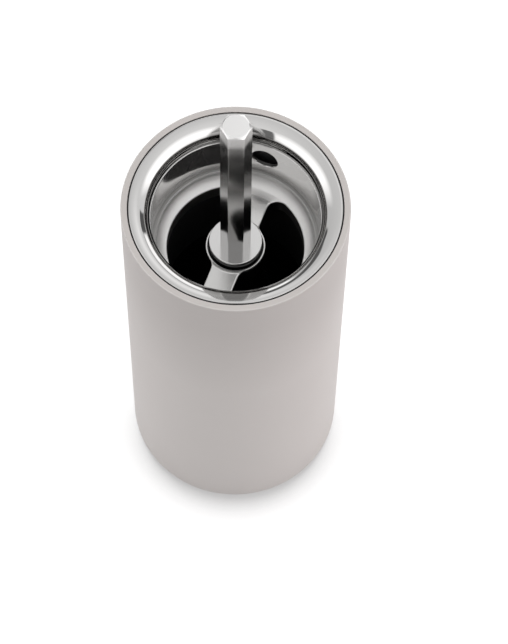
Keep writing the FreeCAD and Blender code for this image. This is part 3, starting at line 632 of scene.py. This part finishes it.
def hopper_sheet(radius, draft, inward):
    """One side of the wall: a grid of columns and rows with a square left out, and rings down to the hole."""
    low, high = HOLE_HEIGHT - PATCH_HALF, HOLE_HEIGHT + PATCH_HALF
    rows = np.concatenate([np.linspace(CUP_FOOT + CUP_EDGE, low, FOOT_ROWS + 1)[:-1],
                           np.linspace(low, high, PATCH_CELLS + 1),
                           np.linspace(high, CUP_TOP - CUP_EDGE, TOP_ROWS + 1)[1:]])
    angle, height = np.meshgrid(wall_columns(radius), rows)
    wall, faces = sheet(polar(drawn_in(radius, draft, height), angle, height), around=True)
    row, column = np.divmod(faces[:, 0], angle.shape[1])
    in_patch = (column < PATCH_CELLS) & (row >= FOOT_ROWS) & (row < FOOT_ROWS + PATCH_CELLS)
    faces = faces[~in_patch]
    rings = [(0.0, HOLE_RADIUS + out * HOLE_EDGE, HOLE_EDGE * inward * deep) for out, deep in HOLE_ROUND]
    rings += [(share, HOLE_RADIUS + HOLE_EDGE, 0.0) for share in PATCH_SHARES]
    patch = np.stack([wrap(square_ring(share, reach), radius, draft, shift) for share, reach, shift in rings])
    parts = [(wall, faces[:, ::-1] if inward > 0 else faces), sheet(patch, around=True, flip=inward < 0)]
    return parts, patch[0]


def hopper_parts():
    """Inner and outer sheet, the hole's short wall between them, and rounded rims at the top and the foot."""
    inner, inner_hole = hopper_sheet(CUP_RADIUS, CUP_DRAFT, 1)
    outer, outer_hole = hopper_sheet(CUP_OUTSIDE, 0.0, -1)
    bore = sheet(np.stack([outer_hole, inner_hole]), around=True)
    turn = quarter(EDGE_STEPS)
    out, up = CUP_EDGE * (1 - np.cos(turn)), CUP_EDGE * (1 - np.sin(turn))
    rims = []
    for level, away in ((CUP_TOP, -1), (CUP_FOOT, 1)):
        inside = drawn_in(CUP_RADIUS, CUP_DRAFT, level + away * CUP_EDGE) + out
        rim = np.vstack([np.stack([inside, level + away * up], 1),
                         np.stack([CUP_OUTSIDE - out, level + away * up], 1)[::-1]])[::-away]
        rims.append(sheet(polar(rim[:, :1], wall_columns(CUP_RADIUS), rim[:, 1:]), around=True, flip=True))
    return inner + outer + [bore] + rims


make_piece("hopper", hopper_parts(), "mill_unit", WALL, ["hopper_cup"])

# %% [markdown]
# ## Bearing bridge
# One dished disc of steel carries the shaft: a ledge under the hopper's wall, a bowl, a flat web cut by two
# kidney windows, and a hub. What is left of the web are two arms. Each arm is a grid in polar form: at
# every point along its side the distance from the axis and the angle are known, and the rows run across at
# that distance. The rings outside and the arms share their columns, so the whole top is one smooth sheet.

# %% Heights of the disc
LEDGE_RADIUS = 24.05
LEDGE_EDGE = 0.35
WINDOW_RADIUS = 20.8
WINDOW_EDGE = 0.45
HUB_RADIUS = 9.0
HUB_TOP = 120.6
HUB_FILLET = 0.5
WEB_TOP = 120.1
WEB_SLOPE = 0.25
BRIDGE_FOOT = 114.5
BOWL_LEAN = 0.48
BOWL_DROP = 2.85
BOWL_WEIGHT = 0.847
BOWL_STEPS = 26


def bowl_points():
    """The bowl's arc as (radius, height): a rational curve of the second degree from the web to the ledge."""
    start = np.array([LEDGE_RADIUS, CUP_FOOT])
    corner = np.array([LEDGE_RADIUS - BOWL_LEAN, CUP_FOOT - BOWL_DROP])
    end = np.array([WINDOW_RADIUS, WEB_TOP - WEB_SLOPE])
    t = np.linspace(0, 1, BOWL_STEPS + 1)[::-1, None]
    shares = ((1 - t) ** 2, 2 * BOWL_WEIGHT * t * (1 - t), t ** 2)
    return (shares[0] * start + shares[1] * corner + shares[2] * end) / sum(shares)


BOWL = bowl_points()


def disc_height(radius):
    """The disc's top at a distance from the axis: the web's slope, the bowl's arc, then the ledge."""
    web = WEB_TOP - WEB_SLOPE * (radius - HUB_RADIUS) / (WINDOW_RADIUS - HUB_RADIUS)
    near = np.clip(HUB_RADIUS + HUB_FILLET - radius, 0, HUB_FILLET)
    web = web + HUB_FILLET - np.sqrt(np.maximum(HUB_FILLET ** 2 - near ** 2, 0))
    return np.where(radius < WINDOW_RADIUS, web, np.interp(radius, *BOWL.T))


# %% Side of an arm
ARM_HALF = 4.35
FILLET = 3.4
ROOT_POINTS = 16
STRAIGHT_POINTS = 12
TIP_POINTS = 22
ROUND_RUN = 1.6
ROUND_POWER = 0.7


def arm_side():
    """Points down one side of an arm, from the hub to the window's arc, with the outward normal of each.

    A fillet about (near, half + fillet) leaves the hub's circle, a straight line follows at half the arm's
    width, and a fillet about (far, half + fillet) meets the window's circle."""
    middle = ARM_HALF + FILLET
    near = np.sqrt((HUB_RADIUS + FILLET) ** 2 - middle ** 2)
    far = np.sqrt((WINDOW_RADIUS - FILLET) ** 2 - middle ** 2)

    def fillet(centre, start, end, count):
        turns = np.linspace(start, end, count)
        spokes = np.stack([np.cos(turns), np.sin(turns)], 1)
        return (centre, middle) + FILLET * spokes, -spokes

    first, first_out = fillet(near, np.pi + np.arctan2(middle, near), 1.5 * np.pi, ROOT_POINTS)
    along = np.linspace(near, far, STRAIGHT_POINTS + 2)[1:-1]
    straight = np.stack([along, np.full_like(along, ARM_HALF)], 1)
    straight_out = np.tile([0.0, 1.0], (len(along), 1))
    last, last_out = fillet(far, 1.5 * np.pi, 2 * np.pi + np.arctan2(middle, far), TIP_POINTS)
    return np.vstack([first, straight, last]), np.vstack([first_out, straight_out, last_out])


SIDE, SIDE_OUT = arm_side()
side_run = np.concatenate([[0], np.cumsum(np.hypot(*np.diff(SIDE, axis=0).T))])
SIDE_ROUND = WINDOW_EDGE * np.clip(side_run / ROUND_RUN, 0, 1) ** ROUND_POWER
INSET = SIDE - SIDE_OUT * SIDE_ROUND[:, None]
root_angle = float(np.degrees(np.arctan2(SIDE[0, 1], SIDE[0, 0])))
print("arm side:", len(SIDE), "points, root angle", round(root_angle, 1))

# %% Columns and outlines that the disc's parts share
ARM_COLUMNS = 24
GAP_COLUMNS = 90
ARM_ACROSS = np.linspace(-1, 1, ARM_COLUMNS + 1)


def polar_form(outline):
    """The distances and the angles of an outline's points, as columns."""
    return np.hypot(*outline.T)[:, None], np.arctan2(outline[:, 1], outline[:, 0])[:, None]


def gap_angles(outline):
    """Angles across a window, from where one arm's side ends to where the other's does."""
    tip = np.arctan2(outline[-1, 1], outline[-1, 0])
    return np.linspace(tip, np.pi - tip, GAP_COLUMNS + 1)


def ring_columns(outline):
    """Angles round the disc: across an arm and across a window, twice."""
    gap = gap_angles(outline)
    half_turn = np.concatenate([ARM_ACROSS * gap[0], gap[1:-1]])
    return np.concatenate([half_turn, half_turn + np.pi]) + ARM_ANGLE


def window_outline(outline):
    """A window as one open run: up one arm's side, round the window's arc and down the other's."""
    arc = polar(np.hypot(*outline[-1]), gap_angles(outline), 0.0)[1:-1, :2]
    return np.vstack([outline, arc, (outline * (-1.0, 1.0))[::-1]])


# %% Top, windows and underside of the disc
HUB_LAP = 0.4
WALL_ROWS = 5
WALL_GUARD = 0.25
LEDGE_GUARD = 0.2
DISC_CHAMFER = 0.1


def window_part(turn_by):
    """A window's rounded edge, from the inset outline out to the true one, and its wall down to the foot."""
    top, rim = window_outline(INSET), window_outline(SIDE)
    soft = np.concatenate([SIDE_ROUND, np.full(GAP_COLUMNS - 1, WINDOW_EDGE), SIDE_ROUND[::-1]])
    turn = quarter(WALL_ROWS)[:, None]
    flat = top + (rim - top) * np.sin(turn)[..., None]
    height = disc_height(np.hypot(*top.T)) - soft * (1 - np.cos(turn))
    height = np.vstack([height, height[-1:] - WALL_GUARD, np.full((1, len(top)), BRIDGE_FOOT)])
    flat = np.concatenate([flat, rim[None], rim[None]])
    x = flat[..., 0] * np.cos(turn_by) - flat[..., 1] * np.sin(turn_by)
    y = flat[..., 0] * np.sin(turn_by) + flat[..., 1] * np.cos(turn_by)
    return sheet(np.stack([x, y, height], -1), flip=True)


def outer_profile():
    """The disc outside its arms as (radius, height): the bowl, the ledge's round edge and the outside."""
    radii = BOWL[:-1, 0]
    start = np.hypot(*INSET[-1])
    radii = np.concatenate([[start], radii[radii > start + STEP_GAP]])
    bowl = np.stack([radii, disc_height(radii)], 1)
    turn = quarter(EDGE_STEPS)
    edge_foot = CUP_FOOT - LEDGE_EDGE
    edge = np.stack([LEDGE_RADIUS + LEDGE_EDGE * (1 - np.cos(turn)),
                     edge_foot + LEDGE_EDGE * np.sin(turn)], 1)
    return np.vstack([bowl[bowl[:, 1] < edge_foot - STEP_GAP], edge,
                      [(LEDGE_RADIUS + LEDGE_EDGE + LEDGE_GUARD, CUP_FOOT),
                       (BRIDGE_RADIUS - DISC_CHAMFER, CUP_FOOT),
                       (BRIDGE_RADIUS, CUP_FOOT - DISC_CHAMFER), (BRIDGE_RADIUS, BRIDGE_FOOT)]])


def disc_parts():
    """Two arms, the rings outside them, each window's rounded edge and wall, and a plain underside."""
    half_turns = (ARM_ANGLE, ARM_ANGLE + np.pi)
    reach, lean = polar_form(INSET)
    reach, lean = np.vstack([[[HUB_RADIUS - HUB_LAP]], reach]), np.vstack([lean[:1], lean])
    arms = [sheet(polar(reach, lean * ARM_ACROSS + turn_by, disc_height(reach))) for turn_by in half_turns]
    profile = outer_profile()
    outside = sheet(polar(profile[:, :1], ring_columns(INSET), profile[:, 1:]), around=True)
    windows = [window_part(turn_by) for turn_by in half_turns]
    reach, lean = polar_form(SIDE)
    feet = [sheet(polar(reach, lean * ARM_ACROSS + turn_by, BRIDGE_FOOT), flip=True)
            for turn_by in half_turns]
    under = np.stack([polar(WINDOW_RADIUS, ring_columns(SIDE), BRIDGE_FOOT),
                      polar(BRIDGE_RADIUS, ring_columns(INSET), BRIDGE_FOOT)])
    return arms + [outside] + windows + feet + [sheet(under, around=True, flip=True)]


# %% Hub
BUSH_SHOULDER = 117.55
COUNTERBORE = 8.45
BUSH_OUTSIDE = 6.02
HUB_FOOT = 98.6
HUB_COLUMNS = 160
hub_profile = rounded([
    (HUB_RADIUS, HUB_FOOT, 0.4), (HUB_RADIUS, HUB_TOP, 0.16), (COUNTERBORE, HUB_TOP, 0.14),
    (COUNTERBORE, BUSH_SHOULDER, 0.0), (BUSH_OUTSIDE, BUSH_SHOULDER, 0.0), (BUSH_OUTSIDE, HUB_FOOT, 0.2),
])
bridge_parts = disc_parts() + [turned(hub_profile, wheel(HUB_COLUMNS))]
make_piece("bridge", bridge_parts, "mill_unit", SATIN, ["bearing_bridge"])

# %% [markdown]
# ## Shaft and collar
# The shaft is one bar: a hexagon post that takes the crank, a round journal in the two bushes, a smaller
# hexagon that turns the inner burr, and a screwed end for the adjusting nut. The post's edges are slightly
# round, and its top is turned to a cone, which cuts a curved scallop into each flat. The collar on it is
# polished on top, and its side is painted near-black as shade in the gap above the hub, so the two are
# separate pieces with a finish each.

# %% Hexagon bars
EDGE_POINTS = 5
FLAT_CELLS = 12


def hexagon(across, edge):
    """Outline of a hexagon with rounded corners, the first on +X, with extra points along each flat."""
    reach = across / np.sqrt(3)
    turns = wheel(6)
    corners = np.stack([reach * np.cos(turns), reach * np.sin(turns), np.full(6, edge)], 1)
    outline = rounded(corners, EDGE_POINTS)
    ahead = np.roll(outline, -1, 0)
    long = np.hypot(*(ahead - outline).T) > across / 4
    share = np.linspace(0, 1, FLAT_CELLS + 1)[None, 1:-1, None]
    extra = outline[long][:, None] * (1 - share) + ahead[long][:, None] * share
    pieces = np.split(outline, np.flatnonzero(long) + 1)
    return np.vstack([p for pair in zip(pieces, list(extra) + [np.empty((0, 2))]) for p in pair])


def bar(outline, heights, limits):
    """An outline carried up through heights, each point drawn in to its height's limit, the ends closed."""
    reach = np.hypot(*outline.T)
    radius = np.minimum(reach, np.concatenate([[0.0], limits, [0.0]])[:, None])
    height = np.concatenate([heights[:1], heights, heights[-1:]])[:, None]
    x, y = (outline / reach[:, None]).T
    points = np.stack(np.broadcast_arrays(radius * x, radius * y, height), -1)
    return facing_out(*sheet(points, around=True))


# %% Shaft
POST_ACROSS = 8.0
POST_EDGE = 0.3
COLLAR_FOOT = 119.1
CHAMFER = 0.35
CHAMFER_DROP = 0.2
TOP_ROUND = 0.05
CONE_ROWS = ((2.2, 0.75, 4), (0.65, TOP_ROUND, 24))
JOURNAL_RADIUS = 3.95
JOURNAL_COLUMNS = 96
DRIVE_ACROSS = 6.4
DRIVE_EDGE = 0.2
DRIVE_TOP = 97.5
BURR_FOOT = 66.5


def post_part():
    """The hexagon under a cone that widens with the depth below the top, with a small round at the top."""
    depth = np.concatenate([np.linspace(*rows) for rows in CONE_ROWS])
    cone = POST_ACROSS / 2 - CHAMFER + depth * CHAMFER / CHAMFER_DROP
    turn = quarter(EDGE_STEPS)[1:]
    heights = np.concatenate([[COLLAR_FOOT], POST_TOP - depth, POST_TOP - TOP_ROUND * (1 - np.sin(turn))])
    limits = np.concatenate([[POST_ACROSS], cone, cone[-1] - 2 * TOP_ROUND * (1 - np.cos(turn))])
    return bar(hexagon(POST_ACROSS, POST_EDGE), heights, limits)


journal = rounded([(0, DRIVE_TOP, 0), (JOURNAL_RADIUS, DRIVE_TOP, 0.2), (JOURNAL_RADIUS, COLLAR_FOOT, 0),
                   (0, COLLAR_FOOT, 0)])
drive = bar(hexagon(DRIVE_ACROSS, DRIVE_EDGE), np.array([BURR_FOOT, DRIVE_TOP]), np.full(2, DRIVE_ACROSS))
shaft_parts = [post_part(), turned(journal, wheel(JOURNAL_COLUMNS), closed=False), drive]
print("shaft above its screw:", [len(points) for points, _ in shaft_parts], "points")

# %% Screwed end
SCREW_RADIUS = 3.0
SCREW_POINT = 0.5
SCREW_ROWS = 190
SCREW_COLUMNS = 72
SHAFT_FOOT = 54.9
CLIP_FOOT = 56.7
CLIP_TOP = 57.5
CLIP_ROOT = 2.5
CLIP_STEP = 0.01
THREAD_DEPTH = 0.5
THREAD_PITCH = 1.0
THREAD_SLOPE = 1.25
THREAD_CREST = 0.12


def screw_part():
    """The screwed end: its radius falls and rises once a pitch along a helix, with the clip's groove."""
    clip = [CLIP_FOOT - CLIP_STEP, CLIP_FOOT, CLIP_TOP, CLIP_TOP + CLIP_STEP]
    heights = np.sort(np.concatenate([np.linspace(SHAFT_FOOT, BURR_FOOT, SCREW_ROWS), clip]))
    profile = np.stack([np.full_like(heights, SCREW_RADIUS), heights], 1)
    profile = np.vstack([[(0, SHAFT_FOOT)], profile, [(0, BURR_FOOT)]])

    def thread(radius, height, angle):
        wave = np.abs(((height / THREAD_PITCH - angle / FULL_TURN) % 1) * 2 - 1)
        cut = radius - THREAD_DEPTH * np.clip(wave * THREAD_SLOPE - THREAD_CREST, 0, 1)
        cut = np.where((height >= CLIP_FOOT) & (height <= CLIP_TOP), CLIP_ROOT, cut)
        cut = np.minimum(cut, SCREW_RADIUS - SCREW_POINT + np.clip(height - SHAFT_FOOT, 0, 1))
        return np.where(radius == 0, 0, cut), height

    return turned(profile, wheel(SCREW_COLUMNS), thread, closed=False)


make_piece("shaft", shaft_parts + [screw_part()], "drive_shaft", POST, ["drive_shaft"])

# %% Collar: a polished disc over a side painted dark as shade
COLLAR_RADIUS = 8.0
COLLAR_TOP = 123.7
COLLAR_COLUMNS = 192
DISC_HIGH = 0.55
NECK_DEEP = 0.12
NECK_TOP = 0.4
NECK_FOOT = 0.55
disc_foot = COLLAR_TOP - DISC_HIGH
neck = COLLAR_RADIUS - NECK_DEEP
disc = rounded([(0, disc_foot, 0), (COLLAR_RADIUS, disc_foot, 0.05), (COLLAR_RADIUS, COLLAR_TOP, 0.2),
                (0, COLLAR_TOP, 0)])
side = rounded([(0, COLLAR_FOOT, 0), (COLLAR_RADIUS, COLLAR_FOOT, 0.2),
                (COLLAR_RADIUS, disc_foot - NECK_FOOT, 0.1), (neck, disc_foot - NECK_TOP, 0.1),
                (neck, disc_foot, 0), (0, disc_foot, 0)])
disc, side = (turned(profile, wheel(COLLAR_COLUMNS), closed=False) for profile in (disc, side))
make_piece("collar", [disc], "drive_shaft", COLLAR_STEEL, ["shaft_collar"])
make_piece("collar_side", [side], "drive_shaft", SIDE_SHADE_STEEL)

# %% [markdown]
# ## Spring
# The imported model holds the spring's space as a tube. Here it is real wire: a circle carried along a helix,
# with the first and last turns closed up flat.

# %% Coil
SPRING_FOOT = 87.5
SPRING_TOP = 97.5
WIRE = 0.8
WIRE_SIDES = 10
COIL_RADIUS = 5.0
COIL_TURNS = 7.5
COIL_STEPS = 420
END_TURNS = 0.9
END_RISE = 0.09


def coil_part():
    """A wire's circle round each point of a helix that rises slowly in its end turns and faster between."""
    turn = np.linspace(0, 1, COIL_STEPS) * COIL_TURNS
    rise = np.interp(turn, [0, END_TURNS, COIL_TURNS - END_TURNS, COIL_TURNS], [0, END_RISE, 1 - END_RISE, 1])
    height = SPRING_FOOT + WIRE / 2 + rise * (SPRING_TOP - SPRING_FOOT - WIRE)
    around = turn * FULL_TURN
    out = polar(1.0, around, 0.0)[:, None]
    centre = polar(COIL_RADIUS, around, height)[:, None]
    ring = wheel(WIRE_SIDES)[None, :, None]
    points = centre + WIRE / 2 * (np.cos(ring) * out + np.sin(ring) * np.array([0.0, 0.0, 1.0]))
    first, last = (np.repeat(centre[k:k + 1], WIRE_SIDES, 1) for k in (0, COIL_STEPS - 1))
    return facing_out(*sheet(np.concatenate([first, points, last]), around=True))


make_piece("coil_spring", [coil_part()], "drive_shaft", PLAIN, ["burr_spring"])

# %% [markdown]
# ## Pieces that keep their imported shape
# The housing, the burrs and the small steel parts already have their real shape, so each keeps its mesh and
# takes a finish of its own.

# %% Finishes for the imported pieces
KEPT = {
    "mill_housing": MOULDED, "upper_bush": MOULDED, "lower_bush": MOULDED,
    "outer_burr": BURR_SHADE_BLACK, "inner_burr": BURR_SHADE_BLACK, "adjusting_nut": BRASS,
}
for name, node in nodes.items():
    if not node.hide_render:
        node.data.materials.clear()
        node.data.materials.append(KEPT.get(name, PLAIN))
print("kept as packed:", sorted(n for n, o in nodes.items() if not o.hide_render))

# %% [markdown]
# ## Stage
# The photograph's ground is pure white and keeps only a tight soft shadow at the mill's foot. To the camera
# and to mirrors the floor is mostly its own white, which fades within 18 mm of anything that stands on it,
# and more in front of the mill than behind it. Under that lies a little plain matte that takes the lamps'
# shadows. For light that bounces up to the mill it is plain white board.

# %% Floor
FLOOR_SIZE = 6000.0
FLOOR_WHITE = 0.86
FLOOR_MATTE = 0.3
FLOOR_BOARD = 0.88
SHADE_REACH = 18.0
SHADE_POWER = 2.4
SHADE_DEPTH = 3.6
SHADE_MOST = 0.47
SHADE_ROUND = 0.14
SHADE_FRONT = 0.86


def grey(level):
    """A grey as a colour for a socket."""
    return (level, level, level, 1)


def mix_shaders(tree, share, first, second):
    """A Mix Shader node between two shaders. Gives its output."""
    return add(tree, "ShaderNodeMixShader", share, first, second).outputs[0]


def floor_material():
    """White to the eye and to polished steel, darker round the mill's foot, and white board to light."""
    material = bpy.data.materials.new("floor_white")
    material.use_nodes = True
    tree = material.node_tree
    tree.nodes.clear()
    place = tree.nodes.new("ShaderNodeTexCoord").outputs["Object"]
    forward = add(tree, "ShaderNodeSeparateXYZ", place).outputs[1]
    radius = place_group(tree, MEASURES, place).outputs["Radius"]
    front = math(tree, "MULTIPLY", math(tree, "DIVIDE", forward, radius), -SHADE_FRONT, clamp=True)
    weight = math(tree, "ADD", front, SHADE_ROUND)
    nearby = add(tree, "ShaderNodeAmbientOcclusion", samples=16, Distance=SHADE_REACH * MM)
    hidden = math(tree, "POWER", math(tree, "SUBTRACT", 1.0, nearby.outputs["AO"]), SHADE_POWER)
    shade = math(tree, "MULTIPLY", math(tree, "MULTIPLY", hidden, SHADE_DEPTH), weight)
    shade = math(tree, "MINIMUM", shade, SHADE_MOST)
    bounce, matte = (add(tree, "ShaderNodeBsdfDiffuse", grey(level)) for level in (FLOOR_BOARD, FLOOR_MATTE))
    glow = add(tree, "ShaderNodeEmission", grey(1), math(tree, "SUBTRACT", FLOOR_WHITE, shade, clamp=True))
    both = add(tree, "ShaderNodeAddShader", matte.outputs[0], glow.outputs[0])
    path = tree.nodes.new("ShaderNodeLightPath").outputs
    mirrored = math(tree, "MAXIMUM", path["Is Glossy Ray"], path["Is Transmission Ray"])
    seen = math(tree, "MAXIMUM", path["Is Camera Ray"], mirrored)
    add(tree, "ShaderNodeOutputMaterial", mix_shaders(tree, seen, bounce.outputs[0], both.outputs[0]))
    return material


half = FLOOR_SIZE / 2 * MM
floor_mesh = bpy.data.meshes.new("floor")
corners = [(-half, -half, 0), (half, -half, 0), (half, half, 0), (-half, half, 0)]
floor_mesh.from_pydata(corners, [], [(0, 1, 2, 3)])
floor_mesh.materials.append(floor_material())
floor = bpy.data.objects.new("floor", floor_mesh)
bpy.context.scene.collection.objects.link(floor)
print("floor:", FLOOR_SIZE, "mm square, shade within", SHADE_REACH, "mm")

# %% [markdown]
# Polished steel only looks like steel with something to reflect. The photograph's rolled ring is a mirror
# of its studio, and shows a large white card on the right, another on the left, a white backdrop with a
# dark frame behind the mill, and the dark shapes of the photographer and a stand in front. Each is a card
# here: a rectangle seen from the mill at an angle round the axis and an angle above the table. Only
# reflections see the cards.

# %% Card: a soft-edged rectangle of directions
LEAST_DEPTH = 0.001
IN_FRONT = 0.01


def card_group():
    group, given = new_group("card", Vector=None, Ahead=None, Across=None, Up=None,
                             Wide=0.5, High=0.5, Soft=0.1)
    ahead = dot(group, given["Vector"], given["Ahead"])
    depth = math(group, "MAXIMUM", ahead, LEAST_DEPTH)
    mask = math(group, "GREATER_THAN", ahead, IN_FRONT)
    for label, size in (("Across", "Wide"), ("Up", "High")):
        aside = dot(group, given["Vector"], given[label])
        away = math(group, "ABSOLUTE", math(group, "DIVIDE", aside, depth))
        inside = math(group, "DIVIDE", math(group, "SUBTRACT", given[size], away), given["Soft"])
        mask = math(group, "MULTIPLY", mask, math(group, "ADD", inside, 0.5, clamp=True))
    return give_out(group, Mask=mask)


CARD = card_group()

# %% Cards: azimuth, elevation, half width, half height and tilt in degrees, then softness and brightness
CARDS = {
    "right": (-36, 22, 47, 31, 0, 0.50, 1.70),
    "left": (198, 21, 35, 27, 0, 0.50, 1.60),
    "backdrop_left": (109, 4, 15, 17, 0, 0.10, 0.62),
    "gleam": (103, 12, 6, 6, 0, 0.08, 1.50),
    "backdrop_right": (64, 5, 19, 16, 0, 0.10, 1.45),
    "above_backdrop": (72, 45, 20, 11, 0, 0.30, 1.15),
    "frame_top_left": (107, 27, 12, 6, -25, 0.05, 0.13),
    "frame_top_right": (62, 25, 20, 1.5, 12.7, 0.04, 0.42),
    "frame_left": (127, 9, 7, 18, 36, 0.05, 0.12),
    "frame_foot": (134, 3, 6, 13, 10, 0.05, 0.10),
    "frame_right": (37.5, 7, 6.5, 20, -5, 0.03, 0.12),
    "photographer": (269, 24, 8, 30, 0, 0.08, 0.50),
    "camera": (270, 62, 6, 12, 0, 0.10, 0.50),
    "stand": (238, 26, 5, 23, 0, 0.04, 0.20),
    "stand_arm": (253, 24, 6, 22, 0, 0.06, 0.85),
}


def with_card(tree, place, behind, card):
    """The brightness of reflections behind a card, changed to the card's own where it stands."""
    azimuth, elevation, wide, high, tilt = np.radians(card[:5])
    soft, shade = card[5:]
    turn = Quaternion((0, 0, 1), azimuth) @ Quaternion((0, 1, 0), -elevation) @ Quaternion((1, 0, 0), tilt)
    ahead, across, up = (turn @ Vector(axis) for axis in ((1, 0, 0), (0, 1, 0), (0, 0, 1)))
    node = place_group(tree, CARD, place, Ahead=ahead, Across=across, Up=up, Wide=float(np.tan(wide)),
                       High=float(np.tan(high)), Soft=soft)
    return mix(tree, "FLOAT", node.outputs["Mask"], behind, shade)


# %% World: white to the camera, a studio of cards to polished steel
CEILING = 0.90
CEILING_SLOPE = (0.10, -0.20, 0.0)
PLAIN_LIGHT = 0.375

scene = bpy.context.scene
scene.view_settings.view_transform = "Standard"
world = bpy.data.worlds.new("studio")
scene.world = world
world.use_nodes = True


def studio_world():
    """Plain light for matte surfaces, white for the camera, the ceiling and the cards for reflections."""
    tree = world.node_tree
    tree.nodes.clear()
    place = tree.nodes.new("ShaderNodeTexCoord").outputs["Generated"]
    shine = math(tree, "ADD", dot(tree, place, CEILING_SLOPE), CEILING)
    for card in CARDS.values():
        shine = with_card(tree, place, shine, card)
    plain, mirror, white = (add(tree, "ShaderNodeBackground", grey(1), strength).outputs[0]
                            for strength in (PLAIN_LIGHT, shine, 1.0))
    path = tree.nodes.new("ShaderNodeLightPath").outputs
    glossy = mix_shaders(tree, path["Is Glossy Ray"], plain, mirror)
    seen = math(tree, "MAXIMUM", path["Is Camera Ray"], path["Is Transmission Ray"])
    add(tree, "ShaderNodeOutputWorld", mix_shaders(tree, seen, glossy, white))


studio_world()
print("cards:", list(CARDS))

# %% Lamps: place and width in metres, watts and colour
LAMPS = {
    "lamp_right": ((0.75, -0.25, 0.35), 0.7, 2.1, (1.0, 0.87, 0.885)),
    "lamp_left": ((-0.75, -0.15, 0.35), 0.7, 1.15, (1.0, 0.87, 0.885)),
    "lamp_top": ((0.0, 0.15, 1.1), 0.9, 6.1, (1.0, 1.0, 0.99)),
}
LAMP_AIM = Vector((0, 0, 0.09))
for name, (spot, size, power, colour) in LAMPS.items():
    lamp = bpy.data.lights.new(name, "AREA")
    lamp.shape = "SQUARE"
    lamp.size = size
    lamp.energy = power
    lamp.color = colour
    holder = bpy.data.objects.new(name, lamp)
    holder.location = spot
    holder.rotation_mode = "QUATERNION"
    holder.rotation_quaternion = (LAMP_AIM - Vector(spot)).to_track_quat("-Z", "Y")
    holder.visible_glossy = False
    scene.collection.objects.link(holder)
print("lamps:", list(LAMPS))

# %% The end
bpy.context.view_layer.update()
